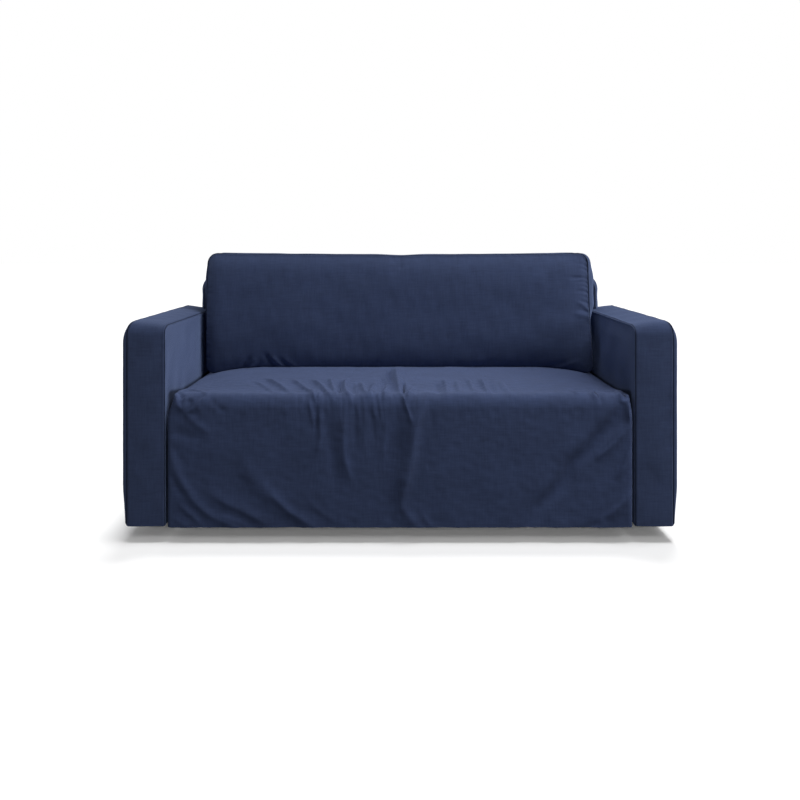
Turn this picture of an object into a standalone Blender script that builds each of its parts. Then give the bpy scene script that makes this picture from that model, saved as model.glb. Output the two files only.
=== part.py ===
"""Fitted slipcover for a two-seat sofa with box arms, as sewn cloth panels in the shape they take when fitted.

Metres, +Z up, the front faces -Y, and left and right are as seen from the front. The sofa inside is left
out, so the arms, the seat, the back and the cushion's cover are hollow. The row's origin is the middle of
the underside of the back's top strip, where the sofa carries the cover. The panels are modelled from the
hem and the arms' front faces, under an empty that moves them to that origin.
"""
import math
from collections import namedtuple

import bmesh
import bpy
import numpy as np
from mathutils import Matrix

# Cloth
CLOTH = 0.0025            # thickness of one panel
GAP = 0.0003              # between two panels where they are sewn
SEAM = CLOTH + GAP        # how far a butted panel's edge lies inside its neighbour's outer face

# Whole cover: heights are above the hem, depths are behind the arms' front faces
DEPTH = 0.875
ARM_INNER = 0.701         # half the width between the arms
ARM_OUTER = 0.816         # half the width over the arms' seams
ARM_TOP_INNER = 0.598     # the inner seam lies lower than the outer one
ARM_TOP_OUTER = 0.606
FRONT_RADIUS_INNER = 0.030
FRONT_RADIUS_OUTER = 0.044
ARM_REAR_RADIUS = 0.022
ARM_CROWN = 0.004         # how far a strip swells between its seams
OUTSIDE_SWELL = 0.0145    # how far the outer side panels stand out beyond their seams
OUTSIDE_TURN = 0.026      # they turn out in this distance behind the front seam
OUTSIDE_SHOULDER = 0.080  # and in this distance below the top seam
OUTSIDE_TUCK = 0.130      # and draw in again over this distance above the hem
HEM_SWELL = 0.45          # share of the swell that is left at the hem
INSIDE_SWELL = 0.004
INSIDE_SWELL_LOW = 0.40   # the inner side panels swell from this height
INSIDE_SWELL_RISE = 0.08
INSIDE_SWELL_TOP = 0.06   # and settle over this distance below the top seam
CLEARANCE = 0.02          # a swell ends this far in front of what it would touch
CROWN_FADE = 0.11         # an arm's crown settles over this distance before the back

BACK_FRONT = 0.750        # front face of the back
BACK_TOP = 0.718
BACK_HALF = 0.718         # the back overhangs the arms' inner seams
BACK_RADIUS = 0.055
BACK_SIDE_SWELL = 0.018   # how far its strip swells between its seams at the sides
BACK_TOP_SWELL = 0.006    # and along its top
BACK_TUCK = 0.335         # the inside-back panel ends below the seat

# Seat: one loose sheet over the seat and down the front
SEAT_FRONT_HEIGHT = 0.392
SEAT_RISE = 0.015         # the seat is higher behind its front edge
SEAT_SIDE_FALL = 0.037    # and falls towards the arms
SEAT_LEVEL_HALF = 0.400   # from this far out
SEAT_EDGE_RADIUS = 0.042
DROP_FACE = -0.004        # the front drop hangs just in front of the arms
DROP_HALF = 0.6930
SEAT_HALF = 0.6983
CORNER_NARROWING = 0.013  # the front corners of the seat are rounded off
CORNER_HEIGHT = 0.040     # from this far below the front edge
SIDE_ROUND = 0.012        # the sheet's sides turn in with this radius
SIDE_RETURN = 0.034       # and go this far in beside the arms
SEAT_RISE_START = 0.03    # depths where the seat starts to rise and is level again
SEAT_RISE_END = 0.28
SEAT_FALL_START = 0.02    # depths where the fall towards the arms starts and is whole
SEAT_FALL_END = 0.30
FOLDS_END = 0.030         # no fold comes nearer to the sheet's side than a few millimetres
FOLDS_STOP = 0.004
FADE_KEPT = 0.35          # share of a fold's height that is left at its two ends
FADE_LENGTH = 0.25        # share of its length over which it fades

# Back cushion's cover
CUSHION_FRONT = 0.600     # front seam
CUSHION_BACK = BACK_FRONT - GAP
CUSHION_BOTTOM = SEAT_FRONT_HEIGHT + SEAT_RISE + 2 * GAP
CUSHION_TOP = 0.801
CUSHION_HALF = 0.682      # from the middle to its side seams, at the bottom
CUSHION_LEFT_LEAN = 0.003 # how far the side seams lean in towards the top
CUSHION_RIGHT_LEAN = 0.014
CUSHION_WIDEST = 0.698    # its strip swells as far as the arms allow
CUSHION_RADIUS = 0.027
CUSHION_CROWN = 0.045
CROWN_FLATNESS = (8, 4)   # powers of the crown's curve across and up the face
CUSHION_TOP_SWELL = 0.007
CUSHION_NOTCH = 0.005     # dip in the middle of the top seam
NOTCH_WIDTH = 0.035
MOUTH_HALF = 0.38         # slot under the cushion's cover, for its filling
MOUTH_DEPTH = 0.030

# Steps of the meshes
ARC_STEPS = 4
SIDE_ROWS = 5
SIDE_SHARES = (0, 0.07, 0.15, 0.24, 0.55, 0.86, 0.91, 0.955, 1)   # heights of a side panel's rows
TOP_STEPS = 6
STRIP_STEPS = 4
CUSHION_LEVEL_COLUMNS = 8
CUSHION_FALL_COLUMNS = 8
CUSHION_ROWS = 7
SEAT_COLUMNS = 64
DROP_ROWS = 17
EDGE_ROWS = 5
SEAT_ROWS = 8
FOLD_STEPS = 16
SHARP_ANGLE = math.radians(40)

NAVY = (0.040, 0.056, 0.113, 1.0)
ROUGHNESS = 0.85

# A fold runs from start through middle to end. Each point is (x, distance along the cloth from the hem).
# Height is above the sheet, and negative in a trough.
Fold = namedtuple("Fold", "start middle end width height")
FOLDS = (
    # ridges and troughs that fall from the left arm to the hem
    Fold((-0.676, 0.200), (-0.595, 0.098), (-0.440, 0.003), 0.021, 0.0110),
    Fold((-0.655, 0.100), (-0.606, 0.048), (-0.548, 0.006), 0.018, -0.0080),
    Fold((-0.575, 0.128), (-0.492, 0.062), (-0.410, 0.010), 0.018, -0.0080),
    Fold((-0.400, 0.190), (-0.312, 0.085), (-0.240, 0.000), 0.021, 0.0115),
    Fold((-0.460, 0.140), (-0.380, 0.068), (-0.300, 0.008), 0.021, -0.0115),
    # upright folds that hang from the gathers left of the middle
    Fold((-0.229, 0.375), (-0.224, 0.310), (-0.221, 0.230), 0.017, 0.0050),
    Fold((-0.190, 0.360), (-0.186, 0.260), (-0.190, 0.130), 0.019, -0.0050),
    Fold((-0.160, 0.375), (-0.150, 0.265), (-0.158, 0.120), 0.018, 0.0065),
    Fold((-0.090, 0.370), (-0.092, 0.250), (-0.104, 0.060), 0.024, -0.0050),
    Fold((-0.046, 0.380), (-0.036, 0.200), (-0.034, 0.010), 0.019, 0.0070),
    # the deep middle trough and the winding ridge beside it
    Fold((0.016, 0.410), (0.003, 0.240), (-0.010, 0.070), 0.021, -0.0125),
    Fold((0.086, 0.392), (0.052, 0.215), (0.024, 0.064), 0.019, 0.0110),
    Fold((0.024, 0.064), (0.044, 0.026), (0.086, 0.000), 0.018, 0.0070),
    Fold((0.120, 0.350), (0.104, 0.230), (0.090, 0.080), 0.026, -0.0050),
    # the long trough and ridge that fall from the right corner
    Fold((0.652, 0.375), (0.546, 0.225), (0.440, 0.070), 0.026, -0.0110),
    Fold((0.680, 0.300), (0.547, 0.163), (0.398, 0.000), 0.021, 0.0110),
    Fold((0.684, 0.090), (0.652, 0.050), (0.640, 0.004), 0.018, 0.0065),
    Fold((0.618, 0.130), (0.560, 0.070), (0.520, 0.005), 0.024, -0.0050),
    # on the seat: the pinched middle, and slack that runs to the front edge
    Fold((-0.034, 0.405), (-0.032, 0.520), (-0.030, 0.700), 0.018, 0.0045),
    Fold((0.004, 0.400), (0.000, 0.560), (-0.004, 0.820), 0.018, -0.0085),
    Fold((0.038, 0.405), (0.034, 0.520), (0.030, 0.680), 0.018, 0.0045),
    Fold((-0.430, 0.620), (-0.385, 0.520), (-0.335, 0.420), 0.022, -0.0040),
    Fold((-0.330, 0.560), (-0.290, 0.490), (-0.250, 0.420), 0.020, -0.0040),
    Fold((0.540, 0.520), (0.590, 0.450), (0.630, 0.390), 0.020, -0.0040),
)


def lerp(a, b, t):
    return a + (b - a) * t


def smooth(x, low, high):
    """0 below low, 1 above high and an easy curve between."""
    t = np.clip((np.asarray(x, float) - low) / (high - low), 0.0, 1.0)
    return t * t * (3 - 2 * t)


def swell(t, power=4):
    """1 across the middle of a panel and 0 at both of its seams, for t from 0 to 1."""
    return 1.0 - np.abs(2.0 * np.asarray(t, float) - 1.0) ** power


def cloth_material(name):
    """The panel's navy cotton."""
    material = bpy.data.materials.new(name + "_cloth")
    material.use_nodes = True
    shader = material.node_tree.nodes["Principled BSDF"]
    shader.inputs["Base Color"].default_value = NAVY
    shader.inputs["Roughness"].default_value = ROUGHNESS
    shader.inputs["Metallic"].default_value = 0.0
    return material


def add_panel(name, mesh, carrier):
    """Turns a bmesh into a named object under the carrier, with its faces outwards."""
    bmesh.ops.recalc_face_normals(mesh, faces=mesh.faces)
    data = bpy.data.meshes.new(name)
    mesh.to_mesh(data)
    mesh.free()
    data.shade_smooth()
    data.set_sharp_from_angle(angle=SHARP_ANGLE)
    data.materials.append(cloth_material(name))
    panel = bpy.data.objects.new(name, data)
    bpy.context.scene.collection.objects.link(panel)
    panel.parent = carrier
    return panel


def sheet_between(name, outer, inner, carrier, ring=False):
    """A closed sheet between two grids of points, rows by columns by xyz.

    A ring's last column meets its first.
    """
    rows, columns = outer.shape[:2]
    mesh = bmesh.new()
    front, back = ([[mesh.verts.new(point) for point in row] for row in grid] for grid in (outer, inner))
    spans = columns if ring else columns - 1
    for i in range(rows - 1):
        for j in range(spans):
            k = (j + 1) % columns
            mesh.faces.new((front[i][j], front[i][k], front[i + 1][k], front[i + 1][j]))
            mesh.faces.new((back[i][j], back[i + 1][j], back[i + 1][k], back[i][k]))
    for j in range(spans):
        k = (j + 1) % columns
        for i in (0, rows - 1):
            mesh.faces.new((front[i][j], front[i][k], back[i][k], back[i][j]))
    if not ring:
        for i in range(rows - 1):
            for j in (0, columns - 1):
                mesh.faces.new((front[i][j], front[i + 1][j], back[i + 1][j], back[i][j]))
    return add_panel(name, mesh, carrier)


def flat_panel(name, outline, front, carrier):
    """A flat upright panel with an outline of (x, z) points, its front face at depth front."""
    mesh = bmesh.new()
    face = mesh.faces.new([mesh.verts.new((x, front, z)) for x, z in outline])
    grown = bmesh.ops.extrude_face_region(mesh, geom=[face])
    moved = [v for v in grown["geom"] if isinstance(v, bmesh.types.BMVert)]
    bmesh.ops.translate(mesh, verts=moved, vec=(0, CLOTH, 0))
    return add_panel(name, mesh, carrier)


# ---------------------------------------------------------------- arms

def arm_seam(across):
    """(y, z) points and outward normals of a line up the front, over the top and down the rear of an arm.

    Across is 0 at the inner seam and 1 at the outer one.
    """
    top = lerp(ARM_TOP_INNER, ARM_TOP_OUTER, across)
    radius = lerp(FRONT_RADIUS_INNER, FRONT_RADIUS_OUTER, across)
    points, normals = [], []
    for z in np.linspace(0, top - radius, SIDE_ROWS, endpoint=False):
        points.append((0, z))
        normals.append((-1, 0))
    for angle in np.linspace(0, math.pi / 2, ARC_STEPS + 1):
        outward = (-math.cos(angle), math.sin(angle))
        points.append((radius * (1 + outward[0]), top + radius * (outward[1] - 1)))
        normals.append(outward)
    for y in np.linspace(radius, DEPTH - ARM_REAR_RADIUS, TOP_STEPS + 1)[1:-1]:
        points.append((y, top))
        normals.append((0, 1))
    for angle in np.linspace(math.pi / 2, 0, ARC_STEPS + 1):
        outward = (math.cos(angle), math.sin(angle))
        points.append((DEPTH + ARM_REAR_RADIUS * (outward[0] - 1), top + ARM_REAR_RADIUS * (outward[1] - 1)))
        normals.append(outward)
    for z in np.linspace(top - ARM_REAR_RADIUS, 0, SIDE_ROWS + 1)[1:]:
        points.append((DEPTH, z))
        normals.append((1, 0))
    return np.array(points, float), np.array(normals, float)


def arm_top_at(x, y):
    """Height of an arm's top strip at a distance x from the middle, down to the end of its rear edge."""
    into_edge = np.clip(y - (DEPTH - ARM_REAR_RADIUS), 0, ARM_REAR_RADIUS)
    drop = ARM_REAR_RADIUS - math.sqrt(ARM_REAR_RADIUS ** 2 - into_edge ** 2)
    return lerp(ARM_TOP_INNER, ARM_TOP_OUTER, (x - ARM_INNER) / (ARM_OUTER - ARM_INNER)) - drop


def arm_strip(name, side, carrier):
    """The strip that covers an arm's front, top and rear between its two side seams."""
    outer, inner = [], []
    for across in np.linspace(0, 1, STRIP_STEPS + 1):
        points, normals = arm_seam(across)
        clear_of_back = 1 - smooth(points[:, 0], BACK_FRONT - CLEARANCE - CROWN_FADE, BACK_FRONT - CLEARANCE)
        raised = points + normals * (ARM_CROWN * swell(across, 2) * clear_of_back)[:, None]
        x = np.full(len(points), side * lerp(ARM_INNER, ARM_OUTER, across))
        outer.append(np.column_stack((x, raised)))
        inner.append(np.column_stack((x, raised - normals * CLOTH)))
    return sheet_between(name, np.array(outer), np.array(inner), carrier)


def arm_side(name, side, face, outward, across, bulge, carrier):
    """An arm's upright side panel, butted inside the strip. Bulge gives its swell at (y, z, height there)."""
    points, normals = arm_seam(across)
    crest = (points - normals * SEAM)[SIDE_ROWS:len(points) - SIDE_ROWS]
    grid = []
    for share in SIDE_SHARES:
        y, z = crest[:, 0], crest[:, 1] * share
        x = side * (face + outward * bulge(y, z, crest[:, 1]))
        grid.append(np.column_stack((x, y, z)))
    outer = np.array(grid)
    inner = outer - np.array((side * outward * CLOTH, 0, 0))
    return sheet_between(name, outer, inner, carrier)


def quarter_round(distance, reach):
    """0 at a seam, and 1 from reach onwards, along a quarter circle."""
    return np.sqrt(1 - (1 - np.clip(distance / reach, 0, 1)) ** 2)


def outside_bulge(y, z, height):
    """The outer side turns out sharply behind its front and rear seams and softly below its top one."""
    across = quarter_round(y - SEAM, OUTSIDE_TURN) * quarter_round(DEPTH - SEAM - y, OUTSIDE_TURN)
    up = smooth(height - z, 0, OUTSIDE_SHOULDER) * lerp(HEM_SWELL, 1, smooth(z, 0, OUTSIDE_TUCK))
    return OUTSIDE_SWELL * across * up


def inside_bulge(y, z, height):
    """The inner side swells only where neither seat nor cushion lies against it."""
    along = swell(np.clip(y / (CUSHION_FRONT - CLEARANCE), 0, 1))
    up = smooth(z, INSIDE_SWELL_LOW, INSIDE_SWELL_LOW + INSIDE_SWELL_RISE)
    return INSIDE_SWELL * along * up * smooth(height - z, 0, INSIDE_SWELL_TOP)


# ---------------------------------------------------------------- back

def back_outline(low, step):
    """(x, z) points round a back panel from its lower edge, butted inside the back's strip.

    It lies between the arms up to the height of the step, and reaches out over them above it.
    """
    half, top, radius = BACK_HALF - SEAM, BACK_TOP - SEAM, BACK_RADIUS - SEAM
    right = [(ARM_INNER - GAP, low), (ARM_INNER - GAP, step), (half, step)]
    for angle in np.linspace(0, math.pi / 2, ARC_STEPS + 1):
        right.append((half - radius + radius * math.cos(angle), top - radius + radius * math.sin(angle)))
    return right + [(-x, z) for x, z in reversed(right)]


def back_section(share):
    """(x, z) points and outward normals of the back's strip, from its right foot round to its left one.

    Share runs from 0 at the front seam to 1 at the rear one. The feet follow the arms' rounded rear edges.
    """
    y = lerp(BACK_FRONT, DEPTH, share)
    foot = arm_top_at(BACK_HALF + BACK_SIDE_SWELL, y) + GAP
    right = [(BACK_HALF, z, 1, 0) for z in np.linspace(foot, BACK_TOP - BACK_RADIUS, 3, endpoint=False)]
    for angle in np.linspace(0, math.pi / 2, ARC_STEPS + 1):
        nx, nz = math.cos(angle), math.sin(angle)
        right.append((BACK_HALF - BACK_RADIUS * (1 - nx), BACK_TOP - BACK_RADIUS * (1 - nz), nx, nz))
    for x in np.linspace(BACK_HALF - BACK_RADIUS, 0, TOP_STEPS, endpoint=False)[1:]:
        right.append((x, BACK_TOP, 0, 1))
    left = [(-x, z, -nx, nz) for x, z, nx, nz in reversed(right)]
    path = np.array(right + [(0, BACK_TOP, 0, 1)] + left)
    line, normals = path[:, :2], path[:, 2:]
    swelling = (np.abs(normals) @ (BACK_SIDE_SWELL, BACK_TOP_SWELL)) * swell(share, 2)
    return y, line + normals * swelling[:, None], normals


def back_strip(name, carrier):
    """The strip over the back's sides and top, standing on the arms."""
    depth = DEPTH - BACK_FRONT
    edge = 1 - ARM_REAR_RADIUS / depth * (1 - np.cos(np.linspace(math.pi / 2, 0, ARC_STEPS + 1)))
    outer, inner = [], []
    for share in np.concatenate((np.linspace(0, edge[0], 4, endpoint=False), edge)):
        y, line, normals = back_section(share)
        within = line - normals * CLOTH
        depths = np.full(len(line), y)
        outer.append(np.column_stack((line[:, 0], depths, line[:, 1])))
        inner.append(np.column_stack((within[:, 0], depths, within[:, 1])))
    return sheet_between(name, np.array(outer), np.array(inner), carrier)


# ---------------------------------------------------------------- seat

def fold_height(x, along):
    """How far the folds lift the sheet at points (x, along), as one sum over the table."""
    lift = np.zeros_like(x)
    steps = np.linspace(0, 1, FOLD_STEPS + 1)
    for fold in FOLDS:
        start, middle, end = (np.array(point) for point in (fold.start, fold.middle, fold.end))
        pull = 2 * middle - (start + end) / 2
        line = np.array([lerp(lerp(start, pull, t), lerp(pull, end, t), t) for t in steps])
        away = np.hypot(x[..., None] - line[:, 0], along[..., None] - line[:, 1])
        nearest = away.argmin(-1)
        ends = np.minimum(steps[nearest], 1 - steps[nearest])
        fade = lerp(FADE_KEPT, 1, smooth(ends, 0, FADE_LENGTH))
        lift += fold.height * fade * np.exp(-(away.min(-1) / fold.width) ** 2)
    return lift


def side_fall(x):
    """How far the seat lies below its middle at x, behind its front edge."""
    return SEAT_SIDE_FALL * (np.clip(np.abs(x) - SEAT_LEVEL_HALF, 0, None) / (SEAT_HALF - SEAT_LEVEL_HALF)) ** 3


def seat_point(across, along):
    """A point of the seat sheet. Across and along are distances on the cloth from its middle and its hem."""
    upright = SEAT_FRONT_HEIGHT - SEAT_EDGE_RADIUS
    turn = np.clip((along - upright) / SEAT_EDGE_RADIUS, 0, math.pi / 2)
    over = np.maximum(along - upright - SEAT_EDGE_RADIUS * math.pi / 2, 0)
    normal_y, normal_z = -np.cos(turn), np.sin(turn)
    y = DROP_FACE + SEAT_EDGE_RADIUS * (1 + normal_y) + over
    z = np.minimum(along, upright) + SEAT_EDGE_RADIUS * normal_z

    narrowing = smooth(along, upright - CORNER_HEIGHT, upright + CORNER_HEIGHT)
    narrowing = narrowing * (1 - smooth(along, upright + 2 * CORNER_HEIGHT, upright + 5 * CORNER_HEIGHT))
    widening = smooth(along, upright, upright + 3 * CORNER_HEIGHT)
    half = lerp(DROP_HALF, SEAT_HALF, widening) - CORNER_NARROWING * narrowing
    side = np.sign(across)
    bend = np.clip((np.abs(across) - (half - SIDE_ROUND)) / SIDE_ROUND, 0, math.pi / 2)
    beyond = np.maximum(np.abs(across) - (half - SIDE_ROUND) - SIDE_ROUND * math.pi / 2, 0)
    x = side * (np.minimum(np.abs(across), half - SIDE_ROUND) + SIDE_ROUND * np.sin(bend))
    turned_in = SIDE_ROUND * (1 - np.cos(bend)) + beyond

    near_side = 1 - smooth(np.abs(across), half - FOLDS_END, half - FOLDS_STOP)
    lift = fold_height(np.asarray(across, float), np.asarray(along, float)) * near_side - turned_in
    rise = SEAT_RISE * smooth(y, SEAT_RISE_START, SEAT_RISE_END)
    fall = side_fall(x) * smooth(y, SEAT_FALL_START, SEAT_FALL_END)
    return np.stack((x, y + normal_y * lift, z + normal_z * lift + rise - fall), axis=-1)


def seat_sheet(name, carrier):
    """The loose sheet from under the cushion, over the seat's front edge and down to the hem."""
    upright = SEAT_FRONT_HEIGHT - SEAT_EDGE_RADIUS
    edge_end = upright + SEAT_EDGE_RADIUS * math.pi / 2
    rear = edge_end + BACK_FRONT - GAP - (DROP_FACE + SEAT_EDGE_RADIUS)
    along = np.concatenate((
        np.linspace(0, upright, DROP_ROWS, endpoint=False),
        np.linspace(upright, edge_end, EDGE_ROWS, endpoint=False),
        np.linspace(edge_end, rear, SEAT_ROWS + 1),
    ))
    reach = DROP_HALF - SIDE_ROUND + SIDE_ROUND * math.pi / 2 + SIDE_RETURN - SIDE_ROUND
    flat = DROP_HALF - SIDE_ROUND
    middle = np.linspace(-flat, flat, SEAT_COLUMNS + 1)
    turned = flat + np.array((0.5, 1.0)) * SIDE_ROUND * math.pi / 2
    side = np.append(turned, reach)
    across = np.concatenate((-side[::-1], middle, side))
    u, v = np.meshgrid(across, along)
    outer = seat_point(u, v)
    step = 1e-4
    sideways = seat_point(u + step, v) - seat_point(u - step, v)
    lengthways = seat_point(u, v + step) - seat_point(u, v - step)
    normal = np.cross(sideways, lengthways)
    normal /= np.linalg.norm(normal, axis=-1, keepdims=True)
    inner = outer - normal * CLOTH
    inner[-1, :, 1] = outer[-1, :, 1]
    return sheet_between(name, outer, inner, carrier)


# ---------------------------------------------------------------- cushion's cover

def cushion_grid():
    """(x, z) of the cushion's face, rows by columns: rounded corners, leaning sides and a notched top.

    Its underside follows the seat.
    """
    half, radius = CUSHION_HALF, CUSHION_RADIUS
    corner = half - radius * (1 - np.cos(np.linspace(math.pi / 2, 0, ARC_STEPS + 1)[1:]))
    falling = np.linspace(SEAT_LEVEL_HALF, half - radius, CUSHION_FALL_COLUMNS + 1)
    level = np.linspace(-SEAT_LEVEL_HALF, SEAT_LEVEL_HALF, CUSHION_LEVEL_COLUMNS + 1)[1:-1]
    right = np.concatenate((falling, corner))
    x = np.concatenate((-right[::-1], level, right))
    into_corner = np.clip(np.abs(x) - (half - radius), 0, radius)
    cut = radius - np.sqrt(radius ** 2 - into_corner ** 2)
    notch = CUSHION_NOTCH * np.exp(-(x / NOTCH_WIDTH) ** 2)
    bottom = np.column_stack((x, CUSHION_BOTTOM - side_fall(x) + cut))
    lean = np.where(x < 0, CUSHION_LEFT_LEAN, CUSHION_RIGHT_LEAN) / half
    top = np.column_stack((x * (1 - lean), CUSHION_TOP - cut - notch))
    return np.array([lerp(bottom, top, share) for share in np.linspace(0, 1, CUSHION_ROWS + 1)])


def loop_places(rows, columns):
    """Indices of a grid's border, anticlockwise from its lower left."""
    bottom = [(0, j) for j in range(columns)]
    right = [(i, columns - 1) for i in range(1, rows)]
    top = [(rows - 1, j) for j in reversed(range(columns - 1))]
    left = [(i, 0) for i in reversed(range(1, rows - 1))]
    return bottom + right + top + left


def loop_normals(loop):
    """Outward normals at the corners of an anticlockwise loop of (x, z) points."""
    edge = np.roll(loop, -1, axis=0) - loop
    edge /= np.linalg.norm(edge, axis=1, keepdims=True)
    turned = edge + np.roll(edge, 1, axis=0)
    turned /= np.linalg.norm(turned, axis=1, keepdims=True)
    return np.column_stack((turned[:, 1], -turned[:, 0]))


def cushion_front(name, grid, places, normals, carrier):
    """The crowned front of the cushion's cover, butted inside its strip."""
    face = grid.copy()
    for place, normal in zip(places, normals):
        face[place] -= normal * SEAM
    rows, columns = face.shape[:2]
    for i in range(1, rows - 1):
        face[i, 1:-1] = lerp(face[0, 1:-1], face[-1, 1:-1], i / (rows - 1))
    u = (grid[0, :, 0] / CUSHION_HALF + 1) / 2
    v = np.linspace(0, 1, rows)[:, None]
    across, upward = CROWN_FLATNESS
    depth = CUSHION_FRONT - CUSHION_CROWN * swell(u, across) * swell(v, upward)
    outer = np.stack((face[..., 0], depth, face[..., 1]), axis=-1)
    return sheet_between(name, outer, outer + np.array((0, CLOTH, 0)), carrier)


def cushion_strip(name, loop, normals, carrier):
    """The strip round the cushion, swollen at its sides and top, with a mouth in its underside."""
    upper = smooth(normals[:, 1], -0.5, 0)
    room = CUSHION_WIDEST - np.abs(loop[:, 0])
    swelling = (room * normals[:, 0] ** 2 + CUSHION_TOP_SWELL * np.abs(normals[:, 1])) * upper
    outer, inner = [], []
    for share in np.linspace(0, 1, STRIP_STEPS + 1):
        y = np.full(len(loop), lerp(CUSHION_FRONT, CUSHION_BACK, share))
        place = loop + normals * (swelling * math.sin(math.pi * share))[:, None]
        within = place - normals * CLOTH
        outer.append(np.column_stack((place[:, 0], y, place[:, 1])))
        inner.append(np.column_stack((within[:, 0], y, within[:, 1])))
    strip = sheet_between(name, np.array(outer), np.array(inner), carrier, ring=True)
    middle = (CUSHION_FRONT + CUSHION_BACK) / 2
    bpy.ops.mesh.primitive_cube_add(size=1, location=(0, middle, CUSHION_BOTTOM))
    cutter = bpy.context.object
    cutter.name = "mouth_cutter"
    cutter.data.transform(Matrix.Diagonal((2 * MOUTH_HALF, MOUTH_DEPTH, 6 * CLOTH, 1)))
    cutter.parent = carrier
    cutter.hide_render = True
    cutter.display_type = "WIRE"
    mouth = strip.modifiers.new("mouth", "BOOLEAN")
    mouth.operation = "DIFFERENCE"
    mouth.object = cutter
    return strip


def cushion_cover(carrier):
    grid = cushion_grid()
    places = loop_places(*grid.shape[:2])
    loop = np.array([grid[place] for place in places])
    normals = loop_normals(loop)
    cushion_front("cushion_front", grid, places, normals, carrier)
    flat_panel("cushion_back", loop - normals * SEAM, CUSHION_BACK - CLOTH, carrier)
    cushion_strip("cushion_strip", loop, normals, carrier)


def build():
    for thing in list(bpy.data.objects):
        bpy.data.objects.remove(thing)
    carrier = bpy.data.objects.new("slipcover", None)
    carrier.location = (0, -(BACK_FRONT + DEPTH) / 2, -(BACK_TOP - CLOTH))
    bpy.context.scene.collection.objects.link(carrier)
    for word, side in (("left", -1), ("right", 1)):
        arm_strip("arm_strip_" + word, side, carrier)
        arm_side("arm_outside_" + word, side, ARM_OUTER, 1, 1, outside_bulge, carrier)
        arm_side("arm_inside_" + word, side, ARM_INNER, -1, 0, inside_bulge, carrier)
    for name, front, low in (("back_outside", DEPTH - CLOTH, 0), ("back_inside", BACK_FRONT, BACK_TUCK)):
        step = arm_top_at(BACK_HALF, front) + GAP
        flat_panel(name, back_outline(low, step), front, carrier)
    back_strip("back_strip", carrier)
    seat_sheet("seat_sheet", carrier)
    cushion_cover(carrier)


build()
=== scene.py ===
"""Dresses the fitted sofa cover: sewn panels of navy plain weave, with their seams, folds and puckers.

Every panel stands where its solid does and replaces it. Shapes are worked out in metres above the hem and
behind the arms' front faces, and are moved to the row's frame when a mesh is made.
"""
import math
from collections import namedtuple

import bpy
import numpy as np
from bpy.props import FloatProperty, FloatVectorProperty, PointerProperty
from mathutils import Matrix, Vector


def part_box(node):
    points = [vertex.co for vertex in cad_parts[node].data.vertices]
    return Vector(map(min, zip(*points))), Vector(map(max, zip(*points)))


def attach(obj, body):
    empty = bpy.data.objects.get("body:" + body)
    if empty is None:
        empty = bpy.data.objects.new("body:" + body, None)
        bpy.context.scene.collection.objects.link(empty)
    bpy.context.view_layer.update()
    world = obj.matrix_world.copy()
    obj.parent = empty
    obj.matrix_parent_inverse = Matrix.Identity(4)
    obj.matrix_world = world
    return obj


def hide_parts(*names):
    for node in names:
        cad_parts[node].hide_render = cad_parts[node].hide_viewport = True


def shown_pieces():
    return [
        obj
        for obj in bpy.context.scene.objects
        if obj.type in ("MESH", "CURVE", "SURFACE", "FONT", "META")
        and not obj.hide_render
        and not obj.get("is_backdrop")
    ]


bl_info = {
    "name": "Fitted sofa cover",
    "version": (1, 0, 0),
    "blender": (4, 5, 0),
    "location": "3D View > Sidebar > Cover",
    "description": "Sews the cloth panels of a fitted sofa cover round its packed model",
    "category": "Add Mesh",
}

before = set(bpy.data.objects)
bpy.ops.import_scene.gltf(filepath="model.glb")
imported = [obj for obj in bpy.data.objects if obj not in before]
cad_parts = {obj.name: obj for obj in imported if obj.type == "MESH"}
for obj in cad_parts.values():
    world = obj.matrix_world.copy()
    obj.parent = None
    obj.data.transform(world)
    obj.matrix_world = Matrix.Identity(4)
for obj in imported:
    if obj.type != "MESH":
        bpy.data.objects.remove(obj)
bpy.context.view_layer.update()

# ---------------------------------------------------------------- driving sizes, in metres

DEPTH = 0.875             # from the arms' front faces to the cover's rear face
ARM_INNER = 0.701         # half the width between the arms
ARM_OUTER = 0.8145        # half the width over the arms' seams
ARM_WIDTH = ARM_OUTER - ARM_INNER
ARM_TOP_INNER = 0.598     # height of an arm's inner seam
ARM_TOP_OUTER = 0.6092    # and of its outer one
FRONT_DROP_INNER = 0.030  # the arms' upper front edges round over, this far down the inner seam
FRONT_DROP_OUTER = 0.044  # and the outer one
FRONT_ROUND = 0.070       # and this far back
FRONT_SQUARE = 2.5        # 2 for an elliptical edge, more for a squarer one
SHOULDER_NARROWING = 0.011   # the outer seam runs this far inwards on top of the arm
ARM_REAR_RADIUS = 0.022
ARM_CROWN = 0.004         # an arm's strip swells this far between its seams,
CROWN_END = (0.130, 0.020)   # which runs out between these distances ahead of the back
OUTSIDE_SWELL = 0.0139    # the outside panels swell this far
OUTSIDE_TURN = 0.012      # within this distance of their front and rear seams,
OUTSIDE_SHOULDER = 0.052  # and within this distance of their top one;
OUTSIDE_TUCK = 0.130      # below this height they swell less,
HEM_SWELL = 0.45          # down to this share at the hem
HEM_ROUND = 0.013         # the outside panels curl in over this distance above the hem,
HEM_CURL = 0.005          # by this much
INSIDE_SWELL = 0.004      # the inside panels swell this far,
INSIDE_SWELL_LOW = 0.40   # from this height,
INSIDE_SWELL_RISE = 0.08  # over this distance,
INSIDE_SWELL_TOP = 0.06   # and less again this near their top seam;
INSIDE_SWELL_END = 0.570  # there is no swell behind this depth

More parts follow.
